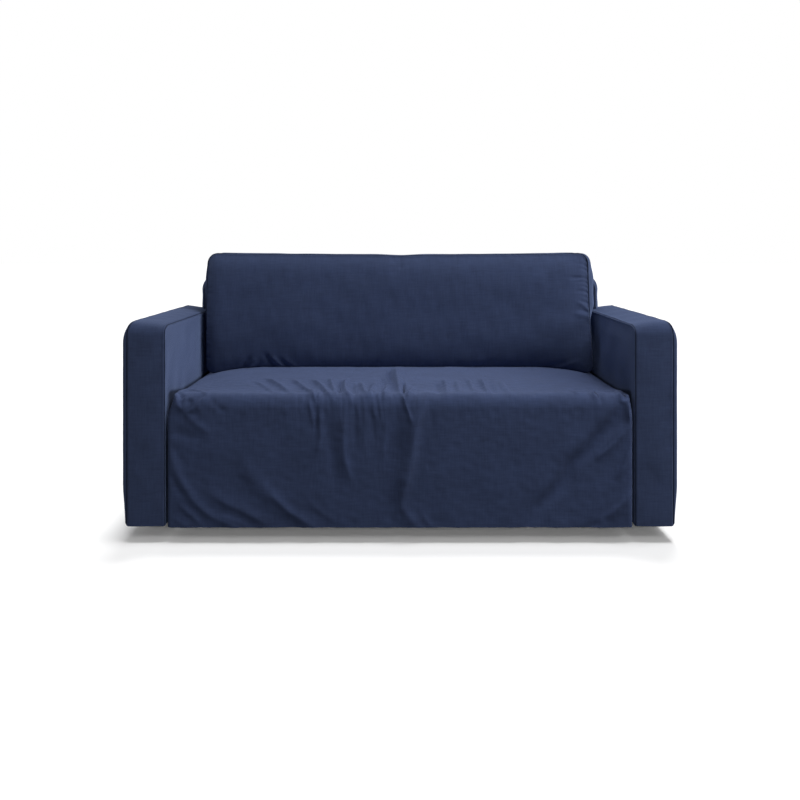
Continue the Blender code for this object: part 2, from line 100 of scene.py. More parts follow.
BACK_FRONT = 0.750        # depth of the back's front panel
BACK_TOP = 0.718
BACK_HALF = 0.718         # half the back's width
BACK_RADIUS = 0.055       # of its upper corners
BACK_SIDE_SWELL = 0.018   # its strip swells this far at the sides
BACK_TOP_SWELL = 0.006    # and this far on top
BACK_TUCK = 0.335         # height at which its front panel ends, behind the seat

SEAT_FRONT_HEIGHT = 0.392
SEAT_EDGE_RADIUS = 0.042  # the seat's front edge rounds over
SEAT_UPRIGHT = SEAT_FRONT_HEIGHT - SEAT_EDGE_RADIUS   # height of the loose front below that edge
SEAT_RISE = 0.015         # behind its edge the seat rises this far
SEAT_RISE_START = 0.03    # from this depth
SEAT_RISE_END = 0.28      # to this one
SEAT_SIDE_FALL = 0.037    # beside the arms it lies this far below its middle,
SEAT_LEVEL_HALF = 0.400   # which is level this far to both sides;
SEAT_FALL_START = 0.02    # the fall begins at this depth
SEAT_FALL_END = 0.30      # and is full from this one
SEAT_FUZZ = 0.30          # the seat sheet's share of the cloth's sheen
DROP_FACE = -0.004        # depth of the loose front
DROP_HALF = 0.6930        # half its width
SEAT_HALF = 0.6983        # half the sheet's width on the seat
CORNER_NARROWING = (0.015, 0.006)   # the left and the right front corner stand in by this much
CORNER_HEIGHT = 0.040     # over about this height
SIDE_ROUND = 0.012        # the sheet's sides round over,
SIDE_RETURN = 0.034       # turned in by this much
HEM_SLACK = 0.003         # the loose front hangs this far below the other hems

CUSHION_FRONT = 0.600     # depth of the seam round the cushion's front, at its top
CUSHION_BACK = 0.7497     # and round its back
CUSHION_BOTTOM = 0.4076
CUSHION_TOP = 0.8085
CUSHION_HALF = 0.682      # half the width between the cushion's side seams
CUSHION_LEFT_LEAN = 0.003    # its left side leans in this far at the top
CUSHION_RIGHT_LEAN = 0.018   # and its right one this far
CUSHION_WIDEST = 0.696    # its strip swells to this half width above the arms
CUSHION_RADIUS = 0.036    # of its corners
CUSHION_CROWN = 0.034     # its face swells this far
CUSHION_LEAN = 0.018      # the face's lower seam stands this far in front of its upper one
CUSHION_BOW = (0.026, 0.010)   # its left and right seams bow forwards,
BOW_WIDTH = 0.22          # and so does this width beside them
CUSHION_SQUEEZE = 0.014   # the right arm pushes the lower part of its side forwards,
SQUEEZE_WIDTH = 0.14      # over this width,
SQUEEZE_HEIGHT = 0.24     # most of all at this share of its height,
SQUEEZE_SPREAD = 0.17     # and over about this share to both sides
CUSHION_SHOULDER = 0.012  # extra rounding below the upper seam,
SHOULDER_DEPTH = 0.060    # over this distance
CUSHION_FLANK = (0.080, 0.130)   # the crown rises over this distance from the left and the right seam
ABOVE_ARMS = (0.56, 0.63)    # the cushion's sides come free of the arms between these heights;
ROOM_LOSS = 0.35          # their swell is this share less near the top,
ROOM_LOSS_RISE = (0.70, 0.79)   # which grows between these heights
CUSHION_TOP_SWELL = -0.003   # its top is drawn in between its seams
CUSHION_SAG = 0.006       # the upper seam sags between its corners
CUSHION_NOTCH = 0.0035    # and is drawn in a little more in the middle,
NOTCH_WIDTH = 0.055       # over this width

# The model's own place: its hem and its front face in the row's frame
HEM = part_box("back_outside")[0].z
FRONT_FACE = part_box("back_outside")[1].y - DEPTH
FLOOR_DROP = 0.050        # the sofa's block legs hold the hem this far above the floor

# Seeds of each panel's own unevenness. A panel also uses the numbers that follow its own.
SEEDS = {
    "seat_sheet": 11, "cushion_front": 21, "cushion_strip": 31, "back_strip": 41,
    "arm_strip_left": 50, "arm_strip_right": 60,
    "arm_outside_left": 70, "arm_inside_left": 75, "arm_outside_right": 80, "arm_inside_right": 85,
    "back_outside": 90, "back_inside": 95,
}

# ---------------------------------------------------------------- cloth and seams

THICKNESS = 0.0018
GAP = 0.0003              # between pieces that nearly touch
SEAM_SET = 0.0015         # a panel's edge goes under this far from the line of its seam
SEAM_ROLL = 0.0055        # radius of the edge
ALLOWANCE = 0.0064        # width of the turned-in allowance, which lifts the cloth over it
ALLOWANCE_LIFT = 0.0011   # by this much
ALLOWANCE_FADE = 0.004    # and down again over this distance
STITCH_AT = 0.0072        # a row of stitches holds it down
STITCH_WIDTH = 0.0011
STITCH_DEPTH = 0.0005
# painted shade along the row of stitches, at most this share of that inside a seam
STITCH_SHADE = 0.16
# the darkening near a seam is painted shade
SEAM_SHADE_REACH = 0.0032    # the cloth is darker this near a seam
EDGE_STEPS = SEAM_SET + np.array((   # places beside a seam, close together where the edge rolls under
    0.0, 0.0001, 0.0004, 0.0010, 0.0021, 0.0034, 0.0048,
    0.0057, 0.0066, 0.0078, 0.0096, 0.0128, 0.0172, 0.0225,
))
SHARP_ANGLE = 62          # degrees between faces, past which their edge is sharp


def blend(a, b, t):
    """A value between a, where t is 0, and b, where t is 1."""
    return a + (b - a) * t


def smooth(x, low, high):
    """0 below low, 1 above high and an easy curve between."""
    t = np.clip((np.asarray(x, float) - low) / (high - low), 0.0, 1.0)
    return t * t * (3 - 2 * t)


def swell(t, power=4):
    """1 across the middle of a panel and 0 at both of its seams, for t from 0 to 1."""
    return 1.0 - np.abs(2.0 * np.asarray(t, float) - 1.0) ** power


def quarter_round(distance, reach):
    """0 at a seam, and 1 from reach onwards, along a quarter circle."""
    return np.sqrt(1 - (1 - np.clip(distance / reach, 0, 1)) ** 2)


def eased(share, power):
    """0 at 0 and 1 from 1 onwards, rising steeply at first; the more, the higher the power."""
    return 1 - (1 - np.clip(share, 0, 1)) ** power


def bell(x, width):
    """1 at 0, and nearly nothing beyond twice the width on both sides."""
    return np.exp(-(x / width) ** 2)


def spread(low, high, step, odd_after=0):
    """Evenly spaced places from low to high, about a step apart.

    Odd_after counts the places beside them, and with those their number is odd.
    """
    count = max(2, round((high - low) / step))
    if (count + 1 + odd_after) % 2 == 0:
        count += 1
    return np.linspace(low, high, count + 1)


def graded(*stretches):
    """Places along stretches of (from, to, count), each as dense as it needs. The last one holds its end."""
    places = [np.linspace(*stretch, endpoint=False) for stretch in stretches[:-1]]
    return np.concatenate(places + [np.linspace(*stretches[-1])])


def between_seams(width, step):
    """Places across a panel, close together at both seams and about a step apart elsewhere; an odd number."""
    inner = spread(EDGE_STEPS[-1], width - EDGE_STEPS[-1], step, odd_after=2 * len(EDGE_STEPS) - 2)
    return np.concatenate((EDGE_STEPS[:-1], inner, (width - EDGE_STEPS[:-1])[::-1]))


def seam_profile(distance, radius=SEAM_ROLL):
    """Height of a panel's face at this distance from a seam.

    It is rolled under, then raised, and held down by stitches.
    """
    under = np.clip(radius + SEAM_SET - distance, 0, radius)
    roll = radius - np.sqrt(radius ** 2 - under ** 2)
    raised = ALLOWANCE_LIFT * (1 - smooth(distance, ALLOWANCE, ALLOWANCE + ALLOWANCE_FADE))
    return raised - roll - STITCH_DEPTH * bell(distance - STITCH_AT, STITCH_WIDTH)


def seam_painted_shade(distance, reach=SEAM_SHADE_REACH):
    """Painted shade: 1 inside a seam and 0 a few millimetres from it, with a faint line along the stitches."""
    groove = 1 - smooth(distance, SEAM_SET, SEAM_SET + reach)
    return groove + STITCH_SHADE * bell(distance - STITCH_AT, STITCH_WIDTH)


def clear_of_seam(distance):
    """0 at a seam's edge and 1 a few millimetres from it."""
    return smooth(distance, 0.001, 0.006)


def ripple(x, y, seed, length, height, waves=9):
    """Slow unevenness of about this height: waves about this long that run in all directions."""
    draw = np.random.default_rng(seed)
    total = np.zeros(np.broadcast(x, y).shape)
    for k in range(waves):
        angle = math.pi * (k + draw.uniform(-0.3, 0.3)) / waves
        wave = length * draw.uniform(0.7, 1.5)
        phase = draw.uniform(0, math.tau)
        total += np.sin(math.tau * (x * math.cos(angle) + y * math.sin(angle)) / wave + phase)
    return height * (total / math.sqrt(waves / 2))


def puckers(along, away, seed, length, spacing, reach, depth, lean=0.0):
    """Small uneven pleats that run in from a seam of this length. Along and away are measured from it."""
    draw = np.random.default_rng(seed)
    lift = np.zeros(np.broadcast(along, away).shape)
    place = spacing * draw.uniform(0.2, 0.8)
    while place < length:
        width = spacing * draw.uniform(0.16, 0.34)
        far = reach * draw.uniform(0.35, 1.5)
        deep = depth * draw.uniform(0.25, 1.0)
        slant = lean + draw.uniform(-0.35, 0.35)
        near = (np.abs(along - place) < 4 * width + 1.2 * far) & (away < far)
        line = along[near] - place - slant * away[near]
        lift[near] -= deep * bell(line, width * (1 + away[near] / far)) * (1 - smooth(away[near], 0, far))
        place += spacing * draw.uniform(0.55, 1.5)
    return lift * smooth(away, SEAM_SET, SEAM_SET + 0.005)


def curve_through(points, steps=6):
    """A smooth line through points, with this many steps from each to the next."""
    points = np.array(points, float)
    padded = np.vstack((2 * points[0] - points[1], points, 2 * points[-1] - points[-2]))
    line = []
    for a, b, c, d in zip(padded, padded[1:], padded[2:], padded[3:]):
        for t in np.linspace(0, 1, steps, endpoint=False):
            pull = (c - a) * t + (2 * a - 5 * b + 4 * c - d) * t ** 2 + (3 * b - a - 3 * c + d) * t ** 3
            line.append(b + pull / 2)
    return np.array(line + [points[-1]])


def lengths_along(line):
    """How far along a line each of its points is."""
    return np.concatenate(((0,), np.cumsum(np.linalg.norm(np.diff(line, axis=0), axis=1))))


def closed(loop):
    """A loop of points with its first one again at its end."""
    return np.vstack((loop, loop[:1]))


def near_line(x, y, line):
    """Distance from points to a line, the side they lie on and how far along it they are.

    The side is 1 on the line's left and -1 on its right. How far along it is from 0 to 1.
    """
    best = np.full(x.shape, np.inf)
    side = np.zeros(x.shape)
    place = np.zeros(x.shape)
    start = 0.0
    for a, b in zip(line, line[1:]):
        run = b - a
        length = math.hypot(*run)
        t = np.clip(((x - a[0]) * run[0] + (y - a[1]) * run[1]) / length ** 2, 0, 1)
        dx, dy = x - a[0] - t * run[0], y - a[1] - t * run[1]
        away = np.hypot(dx, dy)
        nearer = away < best
        best = np.where(nearer, away, best)
        side = np.where(nearer, np.sign(run[0] * dy - run[1] * dx), side)
        place = np.where(nearer, start + t * length, place)
        start += length
    return best, side, place / start


# A fold follows points (x, y) on its panel. Left and right are its widths on the two sides of its route, and
# height is above the panel, negative in a trough, all in millimetres. Crisp is 2 for a soft crest and less
# for a sharp one.
Fold = namedtuple("Fold", "points left right height crisp")
FOLD_WIDTHS = 3.2         # beyond this many widths a fold lifts nothing
FOLD_END = 0.28           # share of a fold's length over which each end fades


def fold_lift(x, y, folds, kept=0.15):
    """How far folds lift a panel at points (x, y).

    They fade to the kept share of their height at both ends.
    """
    lift = np.zeros(x.shape)
    for fold in folds:
        line = curve_through(np.array(fold.points) / 1000)
        left, right, height = fold.left / 1000, fold.right / 1000, fold.height / 1000
        margin = FOLD_WIDTHS * max(left, right)
        low, high = line.min(0) - margin, line.max(0) + margin
        near = (x > low[0]) & (x < high[0]) & (y > low[1]) & (y < high[1])
        away, side, place = near_line(x[near], y[near], line)
        width = np.where(side > 0, left, right)
        fade = blend(kept, 1, smooth(np.minimum(place, 1 - place), 0, FOLD_END))
        lift[near] += height * fade * np.exp(-(away / width) ** fold.crisp)
    return lift


# ---------------------------------------------------------------- making a panel's mesh

def grid_normals(face, ring=False):
    """Unit normals of a grid of points, from the slopes along its rows and columns."""
    padded = np.concatenate((face[:, -2:-1], face, face[:, 1:2]), axis=1) if ring else face
    across = np.gradient(padded, axis=1)
    upward = np.gradient(padded, axis=0)
    if ring:
        across, upward = across[:, 1:-1], upward[:, 1:-1]
    normal = np.cross(across, upward)
    return normal / np.linalg.norm(normal, axis=-1, keepdims=True)


def strips_of(index):
    """Quads between neighbouring places of a grid of indices."""
    corners = (index[:-1, :-1], index[:-1, 1:], index[1:, 1:], index[1:, :-1])
    return [tuple(quad) for quad in np.stack(corners, axis=-1).reshape(-1, 4).tolist()]


def border_chains(index, ring):
    """A grid's border as chains of indices: one that closes on itself, or a ring's two edges."""
    if ring:
        return [list(index[0]), list(index[-1][::-1])]
    chain = list(index[0]) + list(index[1:, -1]) + list(index[-1, :-1][::-1]) + list(index[1:-1, 0][::-1])
    return [chain + chain[:1]]


def panel_mesh(name, face, uv, seam, facing, ring=False, fuzz=1.0):
    """A closed sheet: its face on the grid of points, a back of every second one, and a rim between them.

    Facing is the outward direction at the grid's middle. A ring's last column lies on its first. Seam is the
    painted shade at each point, the back is painted fully shaded, and fuzz is the share of the cloth's sheen.
    """
    rows, columns = face.shape[:2]
    normal = grid_normals(face, ring)
    outward = float(normal[rows // 2, columns // 2] @ np.array(facing, float))
    if outward < 0:
        normal = -normal
    back = (face - normal * THICKNESS)[::2, ::2]
    front_index = np.arange(rows * columns).reshape(rows, columns)
    back_index = front_index.size + np.arange(back.shape[0] * back.shape[1]).reshape(back.shape[:2])
    faces = strips_of(front_index)
    faces += [quad[::-1] for quad in strips_of(back_index)]
    for front, rear in zip(border_chains(front_index, ring), border_chains(back_index, ring)):
        for k in range(len(rear) - 1):
            a, b, c = front[2 * k:2 * k + 3]
            faces += [(b, a, rear[k]), (c, b, rear[k + 1]), (b, rear[k], rear[k + 1])]
    if outward < 0:
        faces = [corners[::-1] for corners in faces]
    points = np.concatenate((face.reshape(-1, 3), back.reshape(-1, 3)))
    flat = np.concatenate((uv.reshape(-1, 2), uv[::2, ::2].reshape(-1, 2)))
    # the back is painted as fully shaded, and the rim shades towards it
    shade = np.concatenate((seam.reshape(-1), np.ones(back_index.size)))
    weld = np.arange(len(points))
    if ring:
        weld[front_index[:, -1]] = front_index[:, 0]
        weld[back_index[:, -1]] = back_index[:, 0]
    kept, renumber = np.unique(weld, return_inverse=True)
    corners = np.concatenate([np.array(c) for c in faces])
    mesh = bpy.data.meshes.new(name)
    place = points[kept] + np.array((0, FRONT_FACE, HEM))
    mesh.from_pydata(place.tolist(), [], [tuple(renumber[list(c)].tolist()) for c in faces])
    layer = mesh.uv_layers.new(name="cloth")
    layer.data.foreach_set("uv", flat[corners].astype(np.float32).ravel())
    # the seam attribute carries the painted shade
    for key, values in (("seam", shade[kept]), ("fuzz", np.full(len(kept), fuzz))):
        attribute = mesh.attributes.new(key, "FLOAT", "POINT")
        attribute.data.foreach_set("value", values.astype(np.float32))
    mesh.shade_smooth()
    mesh.set_sharp_from_angle(angle=math.radians(SHARP_ANGLE))
    return mesh


def sew(node, face, uv, seam, facing, ring=False, fuzz=1.0):
    """Its face, uv and painted shade are given on one grid.
    """
    name = f"{node}_cloth"
    mesh = panel_mesh(name, face, uv, np.broadcast_to(seam, face.shape[:2]), facing, ring, fuzz)
    panel = bpy.data.objects.new(name, mesh)
    bpy.context.scene.collection.objects.link(panel)
    mesh.materials.append(navy_weave())
    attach(panel, "root")
    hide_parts(node)
    return panel


# ---------------------------------------------------------------- the cloth

WEAVE_TONE = (0.16, 0.96)    # what the weave adds to the cloth's tone, and the tone between its yarns
WEAVE_RELIEF = 0.55       # shares of the weave and of uneven yarns in the cloth's relief
YARN_RELIEF = 0.45
RELIEF_HEIGHT = 0.0006    # from the relief's lowest level to its highest
ROUGHNESS_SPREAD = 0.10   # how much the soft patches change the roughness
NOISE_ROUGHNESS = 0.55
SHINE = 0.18
SHEEN_ROUGHNESS = 0.55
SHEEN_TINT = (0.42, 0.56, 1, 1)


def navy_weave():
    """The cover's cloth: a plain weave of uneven navy yarns, a little faded in soft patches."""
    found = bpy.data.materials.get("navy_weave")
    if found:
        return found
    look = bpy.context.scene.cover_cloth
    material = bpy.data.materials.new("navy_weave")
    material.use_nodes = True
    nodes, links = material.node_tree.nodes, material.node_tree.links
    shader = nodes["Principled BSDF"]

    def node(kind, **settings):
        made = nodes.new(kind)
        for key, value in settings.items():
            setattr(made, key, value)
        return made

    def math_node(operation, a, b=None, c=None):
        made = node("ShaderNodeMath", operation=operation)
        for socket, value in zip(made.inputs, (a, b, c)):
            if value is None:
                continue
            if isinstance(value, (int, float)):
                socket.default_value = value
            else:
                links.new(value, socket)
        return made.outputs[0]

    cloth = node("ShaderNodeUVMap", uv_map="cloth").outputs["UV"]

    def streaks(across, along, label, detail=2.0):
        """Noise that may be stretched along a yarn: its scales across and along are per metre of cloth."""
        mapping = node("ShaderNodeMapping", label=label)
        mapping.inputs["Scale"].default_value = (across, along, 1)
        links.new(cloth, mapping.inputs["Vector"])
        noise = node("ShaderNodeTexNoise", noise_dimensions="2D", label=label)
        noise.inputs["Scale"].default_value = 1
        noise.inputs["Detail"].default_value = detail
        noise.inputs["Roughness"].default_value = NOISE_ROUGHNESS
        links.new(mapping.outputs["Vector"], noise.inputs["Vector"])
        return noise.outputs["Fac"]

    warp = math_node("ADD", streaks(430, 26, "warp slubs"), streaks(170, 14, "thick warp yarns"))
    weft = math_node("ADD", streaks(26, 430, "weft slubs"), streaks(14, 170, "thick weft yarns"))
    yarns = math_node("ADD", warp, weft)
    patches = math_node("ADD", streaks(9, 9, "faded patches", 3.0), streaks(28, 28, "small patches", 3.0))
    # the yarns' four noises have a mean of 2 in all, and the patches' two a mean of 1
    tone = math_node("ADD",
                     math_node("MULTIPLY", math_node("SUBTRACT", yarns, 2.0), look.slub_contrast),
                     math_node("MULTIPLY", math_node("SUBTRACT", patches, 1.0), look.patch_contrast))

    # the weave itself: warp and weft yarns pass over each other in turn
    separate = node("ShaderNodeSeparateXYZ")
    links.new(cloth, separate.inputs["Vector"])
    turns = math.pi / look.yarn_pitch
    u_wave = math_node("SINE", math_node("MULTIPLY", separate.outputs["X"], turns))
    v_wave = math_node("SINE", math_node("MULTIPLY", separate.outputs["Y"], turns))
    over = math_node("MULTIPLY", u_wave, v_wave)
    weave = math_node("MULTIPLY", math_node("ABSOLUTE", over), 0.5)

    # its tone, with painted shade from the seam attribute: in the seams, in the gaps beside the seat and on the
    # panels' backs
    attribute = node("ShaderNodeAttribute", attribute_name="seam")
    depth = math_node("MULTIPLY_ADD", attribute.outputs["Fac"], -look.seam_painted_shade, 1.0)
    woven = math_node("MULTIPLY_ADD", weave, *WEAVE_TONE)
    level = math_node("MULTIPLY", math_node("MULTIPLY", math_node("ADD", tone, 1.0), woven), depth)
    grey = node("ShaderNodeCombineXYZ")
    for socket in grey.inputs:
        links.new(level, socket)
    tinted = node("ShaderNodeMixRGB", blend_type="MULTIPLY")
    tinted.inputs["Fac"].default_value = 1.0
    tinted.inputs["Color1"].default_value = (*look.navy, 1)
    links.new(grey.outputs["Vector"], tinted.inputs["Color2"])
    links.new(tinted.outputs["Color"], shader.inputs["Base Color"])

    # its relief
    height = math_node("ADD",
                       math_node("MULTIPLY", weave, WEAVE_RELIEF),
                       math_node("MULTIPLY", yarns, YARN_RELIEF))
    bump = node("ShaderNodeBump")
    bump.inputs["Strength"].default_value = look.bump
    bump.inputs["Distance"].default_value = RELIEF_HEIGHT
    links.new(height, bump.inputs["Height"])
    links.new(bump.outputs["Normal"], shader.inputs["Normal"])

    # its dull surface and the sheen of its fuzz, which the painted shade also takes away
    rough = math_node("MULTIPLY_ADD", patches, ROUGHNESS_SPREAD, look.roughness - ROUGHNESS_SPREAD)
    links.new(rough, shader.inputs["Roughness"])
    shader.inputs["Metallic"].default_value = 0.0
    shader.inputs["Specular IOR Level"].default_value = SHINE
    fuzz = node("ShaderNodeAttribute", attribute_name="fuzz")
    glow = math_node("MULTIPLY", math_node("MULTIPLY", depth, look.sheen), fuzz.outputs["Fac"])
    links.new(glow, shader.inputs["Sheen Weight"])
    shader.inputs["Sheen Roughness"].default_value = SHEEN_ROUGHNESS
    shader.inputs["Sheen Tint"].default_value = SHEEN_TINT
    return material


# ---------------------------------------------------------------- arms

# How dense an arm's rows and columns are
ARM_STEP = 0.0085         # places across its strip
ARM_ROWS = (112, 18, 104, 8, 60)   # up the front, round, along the top, round and down the rear
SIDE_STEP = 0.0095        # places along its side panels, from front to rear

# An arm's strip: the painted shade of its outer seam reaches further on top than elsewhere
STRIP_SHADE_REACH = 0.0014
TOP_SHADE_REACH = 0.0075
CREASE_LIMIT = 0.592      # its creases stay below this length up the front


def arm_seam(across):
    """A line up the front, over the top and down the rear of an arm.

    Gives its (y, z) points, their outward normals and their lengths along it. Across is 0 at the inner seam
    and 1 at the outer one.
    """
    top = blend(ARM_TOP_INNER, ARM_TOP_OUTER, across)
    drop = blend(FRONT_DROP_INNER, FRONT_DROP_OUTER, across)
    front, arc, level, rear_arc, rear = ARM_ROWS
    points, normals = [], []
    for z in np.linspace(0, top - drop, front, endpoint=False):
        points.append((0, z))
        normals.append((-1, 0))
    for angle in np.linspace(0, math.pi / 2, arc, endpoint=False):
        ahead, up = math.cos(angle) ** (2 / FRONT_SQUARE), math.sin(angle) ** (2 / FRONT_SQUARE)
        points.append((FRONT_ROUND * (1 - ahead), top + drop * (up - 1)))
        lean = ahead ** (FRONT_SQUARE - 1) / FRONT_ROUND
        rise = up ** (FRONT_SQUARE - 1) / drop
        normals.append((-lean / math.hypot(lean, rise), rise / math.hypot(lean, rise)))
    for y in np.linspace(FRONT_ROUND, DEPTH - ARM_REAR_RADIUS, level, endpoint=False):
        points.append((y, top))
        normals.append((0, 1))
    for angle in np.linspace(math.pi / 2, 0, rear_arc, endpoint=False):
        outward = (math.cos(angle), math.sin(angle))
        points.append((DEPTH + ARM_REAR_RADIUS * (outward[0] - 1), top + ARM_REAR_RADIUS * (outward[1] - 1)))
        normals.append(outward)
    for z in np.linspace(top - ARM_REAR_RADIUS, 0, rear + 1):
        points.append((DEPTH, z))
        normals.append((1, 0))
    points = np.array(points, float)
    return points, np.array(normals, float), lengths_along(points)


def narrowing(y):
    """How far inwards an arm's outer seam runs at depth y, once it has left the front face."""
    from_front = np.clip(y / FRONT_ROUND, 0, 1)
    from_rear = np.clip((DEPTH - y) / ARM_REAR_RADIUS, 0, 1)
    return SHOULDER_NARROWING * np.minimum(from_front, from_rear)


# On the arms' front faces: faint slanting creases, as (distance from the inner seam, height above the hem)
ARM_CREASES = {
    "left": (
        Fold(((4, 545), (16, 520), (24, 490)), 6, 10, -1.6, 2),
        Fold(((6, 455), (30, 425), (44, 380)), 8, 14, -1.8, 2),
        Fold(((6, 420), (22, 398), (36, 360)), 6, 10, 1.4, 2),
        Fold(((10, 115), (36, 85), (64, 50)), 10, 14, -1.6, 2),
        Fold(((100, 180), (70, 140), (50, 95)), 10, 14, 1.2, 2),
    ),
    "right": (
        Fold(((110, 390), (94, 365), (72, 345)), 8, 12, -1.8, 2),
        Fold(((110, 345), (98, 318), (78, 300)), 8, 12, -1.6, 2),
        Fold(((108, 300), (90, 272), (64, 255)), 9, 13, 1.4, 2),
        Fold(((110, 262), (96, 236), (70, 214)), 8, 12, -1.6, 2),
        Fold(((20, 190), (50, 160), (80, 105)), 10, 16, -1.4, 2),
        Fold(((108, 560), (92, 545), (70, 520)), 8, 12, -1.2, 2),
    ),
}


def arm_strip(word, side):
    """The strip over an arm's front, top and rear between its two side seams."""
    node = f"arm_strip_{word}"
    seed = SEEDS[node]
    offsets = between_seams(ARM_WIDTH, ARM_STEP)
    lines = [arm_seam(offset / ARM_WIDTH) for offset in offsets]
    place, normal, along = (np.stack(columns, axis=1) for columns in zip(*lines))
    across = np.broadcast_to(offsets, along.shape)
    from_seam = np.minimum(across, ARM_WIDTH - across)
    total = float(along.max())
    crown_start, crown_end = BACK_FRONT - np.array(CROWN_END)
    clear_of_back = 1 - smooth(place[..., 0], crown_start, crown_end)
    lift = ARM_CROWN * swell(across / ARM_WIDTH, power=2) * clear_of_back + seam_profile(from_seam)
    lift += puckers(along, across, seed, total, spacing=0.021, reach=0.017, depth=0.0011)
    lift += puckers(along, ARM_WIDTH - across, seed + 1, total, spacing=0.019, reach=0.017, depth=0.0006)
    lift += ripple(along, across, seed + 2, length=0.11, height=0.0007) * swell(across / ARM_WIDTH, power=6)
    lift += fold_lift(across, along, ARM_CREASES[word]) * (along < CREASE_LIMIT)
    raised = place + normal * lift[..., None]
    out = ARM_INNER + across * (1 - narrowing(place[..., 0]) / ARM_WIDTH)
    face = np.stack((side * out, raised[..., 0], raised[..., 1]), axis=-1)
    # painted shade along the seams, reaching further along the outer seam on top of the arm
    on_top = np.clip(normal[..., 1], 0, 1) * (across > ARM_WIDTH / 2)
    shade = seam_painted_shade(from_seam, STRIP_SHADE_REACH + TOP_SHADE_REACH * on_top)
    facing = (0, *normal[len(normal) // 2, 0])
    sew(node, face, np.stack((across, along), -1), shade, facing)


def outside_bulge(y, z, height):
    """The outer side turns out sharply behind its front and rear seams and rounds over below its top one."""
    across = quarter_round(y - SEAM_SET, OUTSIDE_TURN) * quarter_round(DEPTH - SEAM_SET - y, OUTSIDE_TURN)
    rounded = eased((height - z) / OUTSIDE_SHOULDER, power=2.6)
    up = rounded * blend(HEM_SWELL, 1, smooth(z, 0, OUTSIDE_TUCK))
    curl = HEM_CURL * (1 - quarter_round(z, HEM_ROUND))
    return OUTSIDE_SWELL * across * up - narrowing(y) * (1 - rounded) - curl


def inside_bulge(y, z, height):
    """The inner side swells only where neither seat nor cushion lies against it."""
    along = swell(np.clip(y / INSIDE_SWELL_END, 0, 1))
    up = smooth(z, INSIDE_SWELL_LOW, INSIDE_SWELL_LOW + INSIDE_SWELL_RISE)
    return INSIDE_SWELL * along * up * smooth(height - z, 0, INSIDE_SWELL_TOP)


def round_top(y, top, drop, inset):
    """Height of an arm side's outline at depth y, this far inside its seam."""
    height = np.full(y.shape, top - inset)
    edges = ((y, FRONT_ROUND, drop, FRONT_SQUARE), (DEPTH - y, ARM_REAR_RADIUS, ARM_REAR_RADIUS, 2))
    for reach, back, down, square in edges:
        into = np.clip((back - reach) / (back - inset), 0, 1)
        height = np.minimum(height, top - down + (down - inset) * (1 - into ** square) ** (1 / square))
    return height


# The narrow gap between the seat sheet and an arm gets painted shade on both
GAP_PAINTED_SHADE = 0.9
GAP_LOW = -0.001          # on the arm it fades from this height over the seat
GAP_HIGH = 0.009          # to this one,
GAP_START = (0.035, 0.075)   # and begins between these depths;
FRONT_GAP_DIP = 0.022     # at the arm's front it lies this much lower,
FRONT_GAP_DEPTH = 0.09    # up to this depth;
SHEET_GAP = (0.007, 0.016)   # on the sheet it fades between these distances from its side,
SHEET_GAP_START = (0.030, 0.080)   # and begins between these lengths above the upright part of its front


def beside_seat(y, z):
    """Painted shade on an arm's inner side in the narrow gap beside the seat, and just above it."""
    level = SEAT_FRONT_HEIGHT + seat_rise(SEAT_HALF, y)
    level = level - FRONT_GAP_DIP * (1 - smooth(y, 0.0, FRONT_GAP_DEPTH))
    return GAP_PAINTED_SHADE * (1 - smooth(z, level + GAP_LOW, level + GAP_HIGH)) * smooth(y, *GAP_START)


# A kind of side panel. Outward is 1 for the outer one and -1 for the inner, step is the distance between its
# rows, roll is the radius of its edge, reach and strength are of the painted shade at its seams, and pleat is
# how deep its puckers are.
ArmSide = namedtuple("ArmSide", "outward bulge step roll reach strength pleat")
ARM_SIDES = {
    "outside": ArmSide(1, outside_bulge, 0.0145, 0.0012, 0.0014, 0.6, 0.0006),
    "inside": ArmSide(-1, inside_bulge, 0.0075, SEAM_ROLL, 0.0034, 1.0, 0.0012),
}


def arm_side(kind, word, side):
    """An arm's upright side panel, set into its strip."""
    node = f"arm_{kind}_{word}"
    seed = SEEDS[node]
    panel = ARM_SIDES[kind]
    outer = max(panel.outward, 0)
    line = arm_seam(outer)[0]
    top = line[:, 1].max()
    y = between_seams(DEPTH, SIDE_STEP)
    below = EDGE_STEPS - SEAM_SET
    crest = round_top(y, top, blend(FRONT_DROP_INNER, FRONT_DROP_OUTER, outer), SEAM_SET)
    shares = spread(0, 1, panel.step, odd_after=len(below) - 1)[1:]
    rows = [crest - step for step in below]
    rows += [(crest - below[-1]) * (1 - share) for share in shares]
    z = np.array(rows)
    y = np.broadcast_to(y, z.shape)
    from_seam = near_line(y, z, line)[0]
    out = panel.bulge(y, z, np.broadcast_to(crest, z.shape))
    on_cloth = np.hypot(from_seam, np.maximum(out + outer * narrowing(y), 0))
    out += seam_profile(on_cloth, panel.roll)
    out += ripple(y, z, seed, length=0.16, height=0.0008) * smooth(from_seam, 0, 0.05)
    out += puckers(y, top - z, seed + 1, DEPTH, spacing=0.024, reach=0.020, depth=panel.pleat)
    out += (puckers(z, y, seed + 2, top, spacing=0.022, reach=0.018, depth=panel.pleat)
            * clear_of_seam(from_seam))
    x = side * (blend(ARM_INNER, ARM_OUTER, outer) + panel.outward * out)
    # painted shade along the seams
    shade = panel.strength * seam_painted_shade(on_cloth, panel.reach)
    # the inner side also gets painted shade in the gap beside the seat
    if kind == "inside":
        shade = np.maximum(shade, beside_seat(y, z))
    face = np.stack((x, y, z), axis=-1)
    sew(node, face, np.stack((y, z), -1), shade, facing=(side * panel.outward, 0, 0))


# ---------------------------------------------------------------- back

